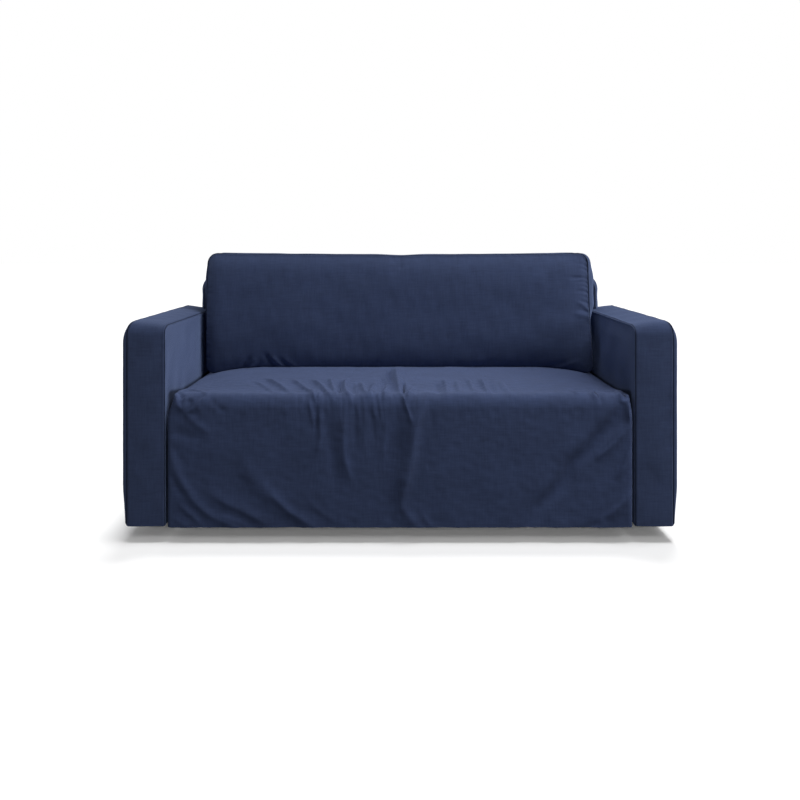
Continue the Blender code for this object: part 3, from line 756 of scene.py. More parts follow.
BACK_CORNER_STEPS = 10    # places round each of the back's upper corners,
BACK_SIDE_STEPS = 8       # up each of its sides
BACK_TOP_STEP = 0.013     # and along its top
REAR_FOOT_DROP = 0.6      # the rear panel widens over the arms this share of their rear radius lower
FOOT_STEP = 0.0006        # height over which a back panel widens
BACK_PANEL_SET = 0.0008   # the back panels lie this far inside their seams
ARM_TOP_AT_BACK = blend(ARM_TOP_INNER, ARM_TOP_OUTER, (BACK_HALF + BACK_SIDE_SWELL - ARM_INNER) / ARM_WIDTH)


def back_section(share):
    """The back's strip at a share of its depth, from its right foot round to its left one.

    Gives its depth, its (x, z) points and their outward normals.
    """
    y = blend(BACK_FRONT, DEPTH, share)
    into_edge = np.clip(y - (DEPTH - ARM_REAR_RADIUS), 0, ARM_REAR_RADIUS)
    drop = ARM_REAR_RADIUS - math.sqrt(ARM_REAR_RADIUS ** 2 - into_edge ** 2)
    foot = ARM_TOP_AT_BACK - drop + GAP
    heights = np.linspace(foot, BACK_TOP - BACK_RADIUS, BACK_SIDE_STEPS, endpoint=False)
    right = [(BACK_HALF, z, 1, 0) for z in heights]
    for angle in np.linspace(0, math.pi / 2, BACK_CORNER_STEPS, endpoint=False):
        nx, nz = math.cos(angle), math.sin(angle)
        right.append((BACK_HALF - BACK_RADIUS * (1 - nx), BACK_TOP - BACK_RADIUS * (1 - nz), nx, nz))
    count = round((BACK_HALF - BACK_RADIUS) / BACK_TOP_STEP)
    for x in np.linspace(BACK_HALF - BACK_RADIUS, 0, count, endpoint=False):
        right.append((x, BACK_TOP, 0, 1))
    left = [(-x, z, -nx, nz) for x, z, nx, nz in reversed(right)]
    path = np.array(right + [(0, BACK_TOP, 0, 1)] + left)
    return y, path[:, :2], path[:, 2:]


def back_strip():
    """The strip over the back's sides and top, standing on the arms."""
    seed = SEEDS["back_strip"]
    depth = DEPTH - BACK_FRONT
    offsets = between_seams(depth, step=0.010)
    sections = [back_section(offset / depth) for offset in offsets]
    places, line, normal = (np.array(rows) for rows in zip(*sections))
    along = np.zeros(line.shape[:2])
    along[:, 1:] = np.cumsum(np.linalg.norm(np.diff(line, axis=1), axis=-1), axis=1)
    across = np.broadcast_to(offsets[:, None], along.shape)
    from_seam = np.minimum(across, depth - across)
    swelling = (np.abs(normal) @ (BACK_SIDE_SWELL, BACK_TOP_SWELL)) * swell(across / depth, power=2)
    lift = swelling + seam_profile(from_seam)
    total = float(along.max())
    lift += puckers(along, across, seed, total, spacing=0.022, reach=0.020, depth=0.0014)
    lift += puckers(along, depth - across, seed + 1, total, spacing=0.022, reach=0.020, depth=0.0014)
    lift += ripple(along, across, seed + 2, length=0.12, height=0.0012) * swell(across / depth)
    raised = line + normal * lift[..., None]
    y = np.broadcast_to(places[:, None], along.shape)
    face = np.stack((raised[..., 0], y, raised[..., 1]), axis=-1)
    sew("back_strip", face, np.stack((along, across), -1), seam_painted_shade(from_seam), facing=(0, 0, 1))


def back_panel(node, depth, facing, low, step):
    """A back panel at a depth, from its lower edge up: between the arms at first, and out over them above.

    Facing is 1 for the panel that faces the rear and -1 for the one that faces the front.
    """
    seed = SEEDS[node]
    foot = ARM_TOP_AT_BACK
    if facing > 0:
        foot -= ARM_REAR_RADIUS * REAR_FOOT_DROP
    top = BACK_TOP - SEAM_SET
    z = np.concatenate((spread(low, foot, step), spread(foot + FOOT_STEP, top - EDGE_STEPS[-1], step),
                        (BACK_TOP - EDGE_STEPS[:-1])[::-1]))
    if len(z) % 2 == 0:
        z = np.insert(z, 1, (z[0] + z[1]) / 2)
    over_arms = z > foot + FOOT_STEP / 2
    share = between_seams(2 * BACK_HALF, step) / BACK_HALF - 1
    half = np.where(over_arms, BACK_HALF - SEAM_SET, ARM_INNER - GAP)
    radius = BACK_RADIUS - SEAM_SET
    into = np.clip(z - (top - radius), 0, radius)
    edge = half - (radius - np.sqrt(radius ** 2 - into ** 2))
    x = share[None, :] * BACK_HALF / (BACK_HALF - SEAM_SET) * edge[:, None]
    z = np.broadcast_to(z[:, None], x.shape)
    corner = (np.abs(x) > BACK_HALF - BACK_RADIUS) & (z > BACK_TOP - BACK_RADIUS)
    rounded = BACK_RADIUS - np.hypot(np.abs(x) - BACK_HALF + BACK_RADIUS, z - BACK_TOP + BACK_RADIUS)
    sides = np.where(over_arms[:, None], BACK_HALF, ARM_INNER - GAP + SEAM_SET) - np.abs(x)
    from_seam = np.where(corner, rounded, np.minimum(sides, BACK_TOP - z))
    out = seam_profile(from_seam) - BACK_PANEL_SET
    out += ripple(x, z, seed, length=0.22, height=0.0016) * smooth(from_seam, 0, 0.06)
    width, height = 2 * BACK_HALF, BACK_TOP - low
    out += puckers(x + BACK_HALF, BACK_TOP - z, seed + 1, width, spacing=0.026, reach=0.024, depth=0.0014)
    face = np.stack((x, depth + facing * out, z), axis=-1)
    sew(node, face, np.stack((x, z), -1), seam_painted_shade(from_seam), facing=(0, facing, 0))


# ---------------------------------------------------------------- seat

# The route of the long trough that falls from the right corner, which is broad and narrow at once
RIGHT_TROUGH = ((691, 430), (640, 317), (602, 272), (566, 228), (518, 183),
                (492, 138), (456, 94), (426, 64), (405, 34), (370, -10))

# Folds of the loose sheet, as (x, distance along the cloth from the hem)
SEAT_FOLDS = (
    # ridges that fall from the left arm towards the hem
    Fold(((-683, 234), (-671, 180), (-650, 138), (-624, 103), (-600, 73)), 10, 14, 4.4, 1.7),
    Fold(((-647, 130), (-621, 85), (-588, 52), (-555, 28), (-511, 8), (-457, -16)), 12, 11, 4.8, 1.6),
    Fold(((-585, 109), (-531, 76), (-490, 57), (-448, 36), (-407, 14), (-362, -16)), 19, 10, 5.1, 1.6),
    Fold(((-546, 37), (-511, 25), (-475, 11), (-445, -7)), 6, 6, 2.4, 1.6),
    Fold(((-481, 204), (-433, 141), (-386, 85), (-356, 55)), 30, 28, 6.1, 1.9),
    Fold(((-404, 121), (-362, 76), (-323, 40), (-279, 14), (-231, -19)), 12, 13, 5.7, 1.6),
    Fold(((-665, 79), (-642, 52), (-612, 25), (-582, -4)), 9, 7, 3.1, 1.7),
    Fold(((-677, 25), (-653, 11), (-624, -7)), 6, 6, 1.8, 1.8),
    Fold(((-689, 162), (-665, 121), (-642, 85)), 8, 10, -2, 2),
    Fold(((-686, 293), (-653, 275), (-612, 263), (-576, 257)), 16, 14, -3.3, 2),
    Fold(((-642, 347), (-615, 314), (-579, 287), (-552, 275)), 9, 12, 3.5, 1.7),
    Fold(((-689, 257), (-671, 228), (-647, 186)), 12, 10, -1.8, 2),
    Fold(((-279, 85), (-237, 46), (-184, 11)), 11, 10, 1.8, 1.8),
    Fold(((-634, 393), (-606, 365), (-588, 335)), 8, 9, 1.7, 1.8),
    Fold(((-567, 384), (-546, 359), (-517, 338)), 9, 8, -2.2, 2),
    # upright folds that hang from the gathers
    Fold(((-270, 377), (-264, 341), (-258, 302)), 6, 8, 3.6, 1.8),
    Fold(((-252, 371), (-249, 323), (-249, 269)), 8, 8, -3.2, 1.9),
    Fold(((-237, 365), (-237, 317), (-237, 257), (-255, 198)), 8, 12, 5.6, 1.6),
    Fold(((-218, 359), (-212, 287), (-200, 183), (-191, 79)), 16, 14, -3.1, 2),
    Fold(((-170, 359), (-167, 302), (-167, 228), (-155, 168), (-137, 127)), 10, 17, 7.9, 1.6),
    Fold(((-135, 368), (-134, 302), (-134, 234)), 9, 9, -3.2, 1.9),
    Fold(((-106, 353), (-106, 287), (-103, 213)), 9, 12, 2.1, 1.9),
    Fold(((-88, 371), (-82, 302), (-76, 243)), 9, 9, -2.4, 2),
    Fold(((-80, 380), (-79, 347), (-73, 317)), 5, 7, 3.2, 1.6),
    Fold(((-56, 365), (-56, 335), (-62, 299)), 5, 7, 2.3, 1.7),
    # the deep middle trough and the winding ridge beside it
    Fold(((-8, 380), (-26, 341), (-41, 296), (-47, 245), (-50, 168)), 8, 16, 3.6, 1.6),
    Fold(((-2, 393), (-8, 341), (-18, 287), (-23, 237), (-38, 189), (-59, 138), (-70, 94)), 20, 34, -5, 2),
    Fold(((7, 404), (16, 365), (28, 335), (37, 305)), 4, 6, 7, 1.4),
    Fold(((85, 404), (63, 350), (47, 308), (40, 257), (34, 207), (22, 156), (11, 109),
          (1, 55)), 17, 29, 21, 1.9),
    Fold(((13, 121), (4, 88), (10, 55), (37, 16), (78, -22)), 13, 16, 4, 1.7),
    Fold(((90, 365), (96, 317), (90, 269)), 9, 9, -2, 2),
    Fold(((60, 49), (78, 19), (102, -10)), 6, 7, 1.5, 1.7),
    # the long trough and ridge that fall from the right corner
    Fold(RIGHT_TROUGH, 20, 23, -12, 2.3),
    Fold(RIGHT_TROUGH, 70, 26, -6, 2.2),
    Fold(((697, 323), (673, 287), (643, 254), (608, 222), (572, 195)), 14, 7, 7, 1.5),
    Fold(((697, 305), (688, 257), (676, 216), (661, 177), (637, 132)), 12, 6, 7.5, 1.5),
    Fold(((676, 317), (634, 269), (596, 228), (560, 192)), 12, 8, 4.5, 1.6),
    Fold(((709, 127), (676, 85), (643, 55), (602, 22)), 26, 9, 8, 1.5),
    Fold(((608, 14), (560, -1), (495, -16)), 8, 8, -2, 2),
    # the pinched middle of the seat
    Fold(((-15, 930), (-12, 703), (-8, 549), (1, 430), (13, 380)), 24, 9, 15, 1.7),
    Fold(((-36, 930), (-32, 703), (-24, 535)), 8, 9, -6, 2),
    Fold(((9, 564), (10, 477), (10, 398)), 6, 7, -12, 2.1),
    Fold(((41, 492), (28, 413), (22, 380), (25, 359)), 8, 6, 8, 1.5),
    Fold(((62, 812), (46, 613), (38, 492)), 18, 14, 3, 2),
    # slack that runs over the front edge
    Fold(((-472, 613), (-420, 507), (-377, 404)), 12, 6, 4, 1.6),
    Fold(((-435, 650), (-392, 556), (-367, 500), (-330, 413)), 16, 6, 8, 1.5),
    Fold(((-346, 631), (-311, 528), (-286, 462), (-257, 398)), 16, 6, 8, 1.5),
    Fold(((-282, 631), (-248, 521), (-223, 430), (-205, 384)), 13, 6, 9, 1.5),
    Fold(((-268, 462), (-259, 393), (-246, 365)), 6, 6, 6, 1.5),
    Fold(((-242, 447), (-244, 393), (-246, 371)), 5, 6, 5, 1.5),
    Fold(((-240, 492), (-230, 393), (-231, 371)), 6, 6, -4, 2.2),
    Fold(((-225, 650), (-210, 507), (-191, 398)), 12, 6, 8, 1.5),
    Fold(((-190, 595), (-184, 492), (-182, 393)), 7, 7, -4.6, 2.2),
    Fold(((-164, 650), (-172, 549), (-166, 447), (-145, 371)), 9, 7, 10, 1.5),
    Fold(((-150, 549), (-141, 430), (-130, 377)), 8, 7, -4.6, 2.2),
    Fold(((-123, 580), (-113, 477), (-101, 393)), 10, 7, 8, 1.5),
    Fold(((-75, 580), (-85, 477), (-92, 393)), 8, 7, 8, 1.5),
    Fold(((-65, 703), (-49, 549), (-51, 430)), 9, 7, -4.6, 2.2),
    Fold(((-40, 549), (-45, 447), (-47, 384)), 7, 7, 7.2, 1.5),
    Fold(((115, 580), (114, 462), (115, 393)), 9, 8, -4.6, 2.2),
    Fold(((142, 631), (143, 507), (142, 393)), 8, 8, 7.2, 1.6),
    Fold(((180, 613), (180, 492), (177, 393)), 8, 7, 5.4, 1.6),
    Fold(((214, 650), (222, 521), (226, 398)), 8, 7, 6.3, 1.6),
    Fold(((256, 650), (262, 521), (268, 398)), 8, 7, 8.1, 1.6),
    Fold(((282, 613), (282, 492), (285, 393)), 8, 8, -4.2, 2.2),
    Fold(((314, 613), (320, 507), (325, 398)), 9, 7, 4.5, 1.7),
    Fold(((519, 492), (524, 430), (534, 393)), 7, 6, 4.5, 1.7),
    Fold(((575, 462), (581, 393), (590, 365)), 7, 6, 6.3, 1.6),
    Fold(((593, 492), (596, 393), (602, 359)), 5, 6, -4.6, 2.2),
    # tucks at the two front corners
    Fold(((-667, 413), (-647, 477), (-601, 430), (-569, 377)), 9, 7, 4.5, 1.7),
    Fold(((-695, 430), (-663, 368), (-637, 338)), 6, 12, 8, 1.5),
    Fold(((-574, 393), (-603, 362), (-636, 335)), 12, 6, 6.5, 1.5),
    Fold(((-632, 380), (-621, 365)), 8, 8, -4, 1.8),
    Fold(((661, 492), (659, 388), (674, 365)), 5, 7, 7, 1.5),
    Fold(((695, 521), (666, 377), (649, 329)), 11, 12, -5, 2.2),
    Fold(((686, 430), (680, 353), (689, 296)), 5, 9, 9, 1.6),
    Fold(((704, 462), (691, 362), (697, 305)), 6, 6, -7, 2.1),
    Fold(((-691, 447), (-670, 390), (-656, 375)), 6, 6, 6.5, 1.5),
    Fold(((-641, 393), (-643, 371), (-640, 344)), 7, 6, 5, 1.6),
    Fold(((-674, 430), (-654, 393), (-648, 371)), 6, 6, -5, 2),
    Fold(((660, 413), (665, 384), (673, 362)), 6, 6, 6.5, 1.5),
    Fold(((680, 430), (680, 393), (683, 374)), 6, 6, -6, 2),
    Fold(((686, 380), (686, 353), (691, 311)), 7, 6, 6.5, 1.5),
)

# Fine gathers under the front edge: where they start and end, their seed, how far apart and how deep they are
Gathers = namedtuple("Gathers", "start end seed spacing depth")
SEAT_GATHERS = (
    Gathers(-0.300, 0.000, 5, 0.015, 0.0020),
    Gathers(0.030, 0.300, 6, 0.017, 0.0010),
    Gathers(0.300, 0.640, 7, 0.019, 0.0009),
    Gathers(-0.660, -0.300, 8, 0.018, 0.0009),
)

# The sheet's rows from its hem and its columns from its middle, as stretches of (from, to, count). Rows and
# columns are each odd in number.
SEAT_ROWS = ((-HEM_SLACK, 0.33, 66), (0.33, 0.45, 40), (0.45, 0.60, 44), (0.60, 0.70, 16), (0.70, 0.99, 26))
SEAT_COLUMNS = ((-0.700, -0.460, 50), (-0.460, 0.100, 160), (0.100, 0.700, 131))
SHEET_END_ROWS = 5        # in the last stretch, up to the sheet's end under the cushion
SIDE_PLACES = (0.704, 0.709, 0.716)   # columns on its turned-in sides
FOLDS_FADE = (0.016, 0.004)   # folds fade from this far inside the sheet's side to this far round it


def side_fall(x):
    """How far the seat lies below its middle at x, behind its front edge."""
    beyond = np.clip(np.abs(x) - SEAT_LEVEL_HALF, 0, None)
    return SEAT_SIDE_FALL * (beyond / (SEAT_HALF - SEAT_LEVEL_HALF)) ** 3


def seat_rise(x, y):
    """How far the seat lies above its front edge at (x, y)."""
    rise = SEAT_RISE * smooth(y, SEAT_RISE_START, SEAT_RISE_END)
    return rise - side_fall(x) * smooth(y, SEAT_FALL_START, SEAT_FALL_END)


def gathers(x, along):
    """Short uneven pleats from a little behind the seat's front edge to a hand's width below it."""
    lift = np.zeros(x.shape)
    for group in SEAT_GATHERS:
        draw = np.random.default_rng(group.seed)
        place = group.start
        while place < group.end:
            top = SEAT_UPRIGHT + draw.uniform(0.02, 0.16)
            low = SEAT_UPRIGHT - draw.uniform(0.01, 0.11)
            slant = draw.uniform(-0.10, 0.22)
            width = group.spacing * draw.uniform(0.22, 0.40)
            deep = group.depth * draw.uniform(0.3, 1.0)
            line = x - place + slant * (along - SEAT_UPRIGHT)
            fade = smooth(along, low, SEAT_UPRIGHT) * (1 - smooth(along, SEAT_UPRIGHT + 0.03, top))
            lift -= deep * bell(line, width) * fade
            place += group.spacing * draw.uniform(0.6, 1.5)
    return lift


def sheet_half(across, along):
    """Half the sheet's width at a place on it: narrower at the front corners than above and below them."""
    above = along - SEAT_UPRIGHT
    narrow = smooth(above, -CORNER_HEIGHT, CORNER_HEIGHT)
    narrow *= 1 - smooth(above, 2 * CORNER_HEIGHT, 5 * CORNER_HEIGHT)
    half = blend(DROP_HALF, SEAT_HALF, smooth(above, 0, 3 * CORNER_HEIGHT))
    return half - np.where(across < 0, *CORNER_NARROWING) * narrow


def seat_point(across, along, lift):
    """A point of the seat sheet. Across and along are distances on the cloth from its middle and its hem."""
    turn = np.clip((along - SEAT_UPRIGHT) / SEAT_EDGE_RADIUS, 0, math.pi / 2)
    over = np.maximum(along - SEAT_UPRIGHT - SEAT_EDGE_RADIUS * math.pi / 2, 0)
    normal_y, normal_z = -np.cos(turn), np.sin(turn)
    y = DROP_FACE + SEAT_EDGE_RADIUS * (1 + normal_y) + over
    z = np.minimum(along, SEAT_UPRIGHT) + SEAT_EDGE_RADIUS * normal_z

    half = sheet_half(across, along)
    flat_half = half - SIDE_ROUND
    bend = np.clip((np.abs(across) - flat_half) / SIDE_ROUND, 0, math.pi / 2)
    beyond = np.maximum(np.abs(across) - flat_half - SIDE_ROUND * math.pi / 2, 0)
    x = np.sign(across) * (np.minimum(np.abs(across), flat_half) + SIDE_ROUND * np.sin(bend))
    turned_in = SIDE_ROUND * (1 - np.cos(bend)) + beyond
    near_side = 1 - smooth(np.abs(across), half - FOLDS_FADE[0], half + FOLDS_FADE[1])
    out = lift * near_side - turned_in
    return np.stack((x, y + normal_y * out, z + normal_z * out + seat_rise(x, y)), axis=-1)


def seat_sheet():
    """The loose sheet from under the cushion, over the seat's front edge and down to the hem."""
    seed = SEEDS["seat_sheet"]
    length = SEAT_UPRIGHT + SEAT_EDGE_RADIUS * math.pi / 2 + BACK_FRONT - GAP - (DROP_FACE + SEAT_EDGE_RADIUS)
    reach = DROP_HALF - SIDE_ROUND + SIDE_ROUND * math.pi / 2 + SIDE_RETURN - SIDE_ROUND
    along = graded(*SEAT_ROWS, (SEAT_ROWS[-1][1], length, SHEET_END_ROWS))
    side = np.array((*SIDE_PLACES, reach))
    across = np.concatenate((-side[::-1], graded(*SEAT_COLUMNS), side))
    across, along = np.meshgrid(across, along)
    lift = fold_lift(across, along, SEAT_FOLDS) + gathers(across, along)
    lift += ripple(across, along, seed, length=0.16, height=0.0006)
    lift += ripple(across, along, seed + 1, length=0.040, height=0.00022)
    lift += ripple(across, 0 * along, seed + 2, length=0.08, height=0.0010) * (1 - smooth(along, 0, 0.05))
    above = along - SEAT_UPRIGHT
    # painted shade in the narrow gap beside each arm, carried in the seam attribute
    beside_arm = 1 - smooth(SEAT_HALF - np.abs(across), *SHEET_GAP)
    shade = GAP_PAINTED_SHADE * beside_arm * smooth(above, *SHEET_GAP_START)
    face = seat_point(across, along, lift)
    sew("seat_sheet", face, np.stack((across, along), -1), shade, facing=(0, -0.7, 0.7),
        fuzz=SEAT_FUZZ)


# ---------------------------------------------------------------- cushion's cover

LEAN_POWER = 2.5          # its sides lean in most near the bottom, the more the higher this power
SEAM_POINTS = 0.012       # distance between the points of the seam that its front and back follow
SIDE_SEAM = 0.9           # length that holds all the puckers of one of its side seams
FROM_RIGHT = (0.55, 0.62)    # the puckers of its right seam begin between these places


def cushion_sag(x):
    """How far the cushion's upper seam hangs below its corners at x, most of all in the middle."""
    return CUSHION_SAG * (1 - (x / CUSHION_HALF) ** 2) + CUSHION_NOTCH * bell(x, NOTCH_WIDTH)


def cushion_edges(x, inset=0.0):
    """Heights of the cushion's lower and upper seams at x, or of a line this far inside round corners."""
    radius = CUSHION_RADIUS - inset
    into = np.clip(np.abs(x) - (CUSHION_HALF - CUSHION_RADIUS), 0, radius)
    cut = CUSHION_RADIUS - np.sqrt(radius ** 2 - into ** 2)
    return CUSHION_BOTTOM - side_fall(x) + cut, CUSHION_TOP - cut - cushion_sag(x)


def lean_in(x, height):
    """How far in the cushion's sides lean, as a share of x, at a share of their height."""
    lean = np.where(x < 0, CUSHION_LEFT_LEAN, CUSHION_RIGHT_LEAN) / CUSHION_HALF
    return lean * eased(height, LEAN_POWER)


def cushion_loop(step):
    """(x, z) points of the seam round the cushion's front, anticlockwise from its lower left."""
    level_half = CUSHION_HALF - CUSHION_RADIUS
    corner = CUSHION_HALF - CUSHION_RADIUS * (1 - np.cos(np.linspace(math.pi / 2, 0, 11)))
    x = np.concatenate((-corner[::-1], spread(-level_half, level_half, step)[1:-1], corner))
    bottom, top = cushion_edges(x)
    low, high = np.column_stack((x, bottom)), np.column_stack((x * (1 - lean_in(x, 1)), top))
    count = round((top[0] - bottom[0]) / step)
    shares = np.linspace(0, 1, count + 1)[1:-1]
    right, left = (np.column_stack((blend(low[end, 0], high[end, 0], eased(shares, LEAN_POWER)),
                                    blend(low[end, 1], high[end, 1], shares))) for end in (-1, 0))
    return np.concatenate((low, right, high[::-1], left[::-1]))


# The grid of the cushion's front or back. Height is a share of the face's height at a point, below_top the
# distance from its upper seam, and place how far along the seam round it a point is, from 0 to 1
FaceGrid = namedtuple("FaceGrid", "x z height below_top from_seam place")


def cushion_face_grid(column_step, row_step):
    """Points on the cushion's front or back. The row step is a share of its height."""
    x = between_seams(2 * CUSHION_HALF, column_step) - CUSHION_HALF
    bottom, top = cushion_edges(x, SEAM_SET)
    steps = EDGE_STEPS - SEAM_SET
    rows = [bottom + step for step in steps[:-1]]
    for share in spread(0, 1, row_step, odd_after=2 * len(steps) - 2):
        rows.append(blend(bottom + steps[-1], top - steps[-1], share))
    rows += [top - step for step in steps[:-1][::-1]]
    z = np.array(rows)
    height = (z - bottom) / (top - bottom)
    x = x * (1 - lean_in(x, height))
    from_seam, _, place = near_line(x, z, closed(cushion_loop(SEAM_POINTS)))
    return FaceGrid(x, z, height, top - z, from_seam, place)


def loop_normals(loop):
    """Outward normals at the corners of an anticlockwise loop of (x, z) points."""
    edge = np.roll(loop, -1, axis=0) - loop
    edge /= np.linalg.norm(edge, axis=1, keepdims=True)
    turned = edge + np.roll(edge, 1, axis=0)
    turned /= np.linalg.norm(turned, axis=1, keepdims=True)
    return np.column_stack((turned[:, 1], -turned[:, 0]))


def cushion_bow(x, height):
    """How far forward of its upper edge the seam round the cushion's face lies, at a share of its height."""
    side = np.where(x < 0, *CUSHION_BOW) * smooth(np.abs(x), CUSHION_HALF - BOW_WIDTH, CUSHION_HALF)
    squeezed = CUSHION_SQUEEZE * smooth(x, CUSHION_HALF - SQUEEZE_WIDTH, CUSHION_HALF)
    squeezed *= bell(height - SQUEEZE_HEIGHT, SQUEEZE_SPREAD)
    return CUSHION_LEAN * (1 - height) + side * (1 - (2 * height - 1) ** 2) + squeezed


# The pleats across its right seam: their height at the seam's outer side, the x at which they end and their
# height above the cloth, all in millimetres
RIGHT_PLEATS = (
    (759, 634, -2.6), (741, 626, -3.6), (725, 628, -3.0), (695, 580, -4.4), (680, 612, -3.2),
    (665, 626, -2.8), (648, 612, -3.6), (629, 630, -2.2), (611, 618, -3.4), (581, 625, -4.0),
)

# Pleats of the cushion's face, as (x, height above the hem)
CUSHION_FOLDS = (
    # at the lower left corner
    Fold(((-562, 398), (-546, 420), (-520, 448)), 10, 9, -4.6, 1.8),
    Fold(((-538, 398), (-522, 420), (-500, 444)), 8, 8, 4.4, 1.5),
    Fold(((-512, 398), (-500, 418), (-482, 436)), 7, 8, -3, 1.8),
    Fold(((-428, 400), (-452, 424), (-478, 462)), 8, 10, -6.2, 1.8),
    Fold(((-404, 402), (-430, 424), (-452, 452)), 8, 8, 6, 1.5),
    Fold(((-380, 402), (-404, 420), (-428, 444)), 8, 8, -5, 1.8),
    Fold(((-352, 402), (-380, 416), (-408, 440)), 8, 8, 3.4, 1.7),
    # across the right seam
    *(Fold(((712, z), (672, z + 15), (648, z + 25), (end, z + 27)), 5, 6, height, 1.7)
      for z, end, height in RIGHT_PLEATS),
    Fold(((700, 583), (664, 604), (640, 628), (612, 640)), 8, 7, 5.2, 1.6),
    Fold(((700, 566), (664, 582), (640, 592), (600, 598)), 10, 9, 4.6, 1.7),
    # slack along the lower edge
    Fold(((500, 402), (540, 414), (590, 428)), 10, 10, -3.4, 1.9),
    Fold(((530, 398), (575, 412), (625, 430)), 9, 9, 3, 1.8),
    Fold(((260, 405), (300, 420), (345, 436)), 10, 10, -3, 2),
    Fold(((-120, 404), (-100, 420), (-70, 436)), 10, 10, -2.2, 2),
    # where the middle of the upper seam is drawn in
    Fold(((0, 800), (2, 775), (0, 745)), 10, 10, -3.4, 2),
    Fold(((-30, 800), (-20, 780), (-8, 764)), 8, 8, -2.2, 2),
)


def cushion_front():
    """The crowned front of the cushion's cover."""
    seed = SEEDS["cushion_front"]
    grid = cushion_face_grid(column_step=0.0052, row_step=0.0088)
    x, z, from_seam = grid.x, grid.z, grid.from_seam
    height = np.clip(grid.height, 0, 1)
    middle = CUSHION_LEAN * (1 - height) + CUSHION_CROWN * swell(height, power=3.5)
    shoulder = eased(grid.below_top / SHOULDER_DEPTH, power=2.5)
    middle += CUSHION_SHOULDER * shoulder * swell(height, power=12)
    right_side = CUSHION_HALF * (1 - lean_in(x, height))
    from_left = eased((x + CUSHION_HALF) / CUSHION_FLANK[0], power=3)
    from_right = eased((right_side - x) / CUSHION_FLANK[1], power=2.6)
    crown = blend(cushion_bow(x, height), middle, from_left * from_right)

    length = float(lengths_along(closed(cushion_loop(SEAM_POINTS)))[-1])
    on_right = smooth(x, *FROM_RIGHT)
    pleats = puckers(grid.place * length, from_seam, seed, length, spacing=0.014, reach=0.026, depth=0.0020)
    pleats += on_right * puckers(z, CUSHION_HALF - x, seed + 1, SIDE_SEAM, spacing=0.012, reach=0.026,
                                 depth=0.0012, lean=0.25)
    pleats += puckers(z, CUSHION_HALF + x, seed + 2, SIDE_SEAM, spacing=0.020, reach=0.026, depth=0.0016)
    pleats += fold_lift(x, z, CUSHION_FOLDS)
    lift = seam_profile(from_seam) + pleats * clear_of_seam(from_seam)
    lift += ripple(x, z, seed + 3, length=0.30, height=0.0016) * smooth(from_seam, 0, 0.08)
    lift += ripple(x, z, seed + 4, length=0.07, height=0.0005) * smooth(from_seam, 0, 0.03)
    face = np.stack((x, CUSHION_FRONT - crown - lift, z), axis=-1)
    sew("cushion_front", face, np.stack((x, z), -1), seam_painted_shade(from_seam), facing=(0, -1, 0))


def cushion_strip():
    """The strip round the cushion, swollen at its sides and top."""
    seed = SEEDS["cushion_strip"]
    loop = cushion_loop(step=0.0075)
    if len(loop) % 2:
        loop = np.insert(loop, 3, (loop[2] + loop[3]) / 2, axis=0)
    normal = closed(loop_normals(loop))
    loop = closed(loop)
    x, z = loop[:, 0], loop[:, 1]
    depth = CUSHION_BACK - CUSHION_FRONT
    offsets = between_seams(depth, step=0.011)
    share = (offsets / depth)[:, None]
    upper = smooth(normal[:, 1], -0.5, 0)   # 0 underneath, where it lies on the seat
    widest = blend(CUSHION_HALF, CUSHION_WIDEST, smooth(z, *ABOVE_ARMS))
    room = np.maximum(widest - np.abs(x), 0) * (1 - ROOM_LOSS * smooth(z, *ROOM_LOSS_RISE))
    swelling = (room * normal[:, 0] ** 2 + CUSHION_TOP_SWELL * np.abs(normal[:, 1])) * upper
    along = lengths_along(loop)
    total = float(along[-1])
    along, across = np.meshgrid(along, offsets)
    from_seam = np.minimum(across, depth - across)
    pleats = puckers(along, across, seed, total, spacing=0.016, reach=0.022, depth=0.0014)
    unevenness = ripple(along, across, seed + 1, length=0.10, height=0.0009) * swell(across / depth)
    lift = swelling * np.sin(math.pi * share) + seam_profile(from_seam)
    lift += upper * (pleats * clear_of_seam(from_seam) + unevenness)
    place = loop + normal * lift[..., None]
    bottom, top = cushion_edges(x)
    bow = cushion_bow(x, np.clip((z - bottom) / (top - bottom), 0, 1))
    y = CUSHION_FRONT + across - bow * (1 - share) ** 1.5
    face = np.stack((place[..., 0], y, place[..., 1]), axis=-1)
    middle = normal[len(normal) // 2]
    facing = (middle[0], 0, middle[1])
    sew("cushion_strip", face, np.stack((along, across), -1), seam_painted_shade(from_seam), facing,
        ring=True)


def cushion_back():
    """The flat back of the cushion's cover."""
    grid = cushion_face_grid(column_step=0.03, row_step=0.08)
    y = CUSHION_BACK + np.minimum(seam_profile(grid.from_seam), 0)
    face = np.stack((grid.x, y, grid.z), axis=-1)
    sew("cushion_back", face, np.stack((grid.x, grid.z), -1), seam_painted_shade(grid.from_seam), facing=(0, 1, 0))


# ---------------------------------------------------------------- stage

def towards(azimuth, elevation):
    """The direction to a light, its azimuth in degrees from the right round to the front."""
    a, e = math.radians(azimuth), math.radians(elevation)
    return Vector((math.cos(a) * math.cos(e), -math.sin(a) * math.cos(e), math.sin(e)))


def aim(name, data, place, direction):
    """A light at a place that shines from a direction."""
    light = bpy.data.objects.new(name, data)
    light.location = place
    light.rotation_euler = direction.to_track_quat("Z", "Y").to_euler()
    bpy.context.scene.collection.objects.link(light)
    return light


def add_softbox(box, power):
    """A square soft light at its distance from the cover's middle."""
    data = bpy.data.lights.new(box.name, "AREA")
    data.size = box.size
    data.energy = box.share * power
    direction = towards(box.azimuth, box.elevation)
    return aim(box.name, data, MIDDLE + direction * SOFTBOX_DISTANCE, direction)


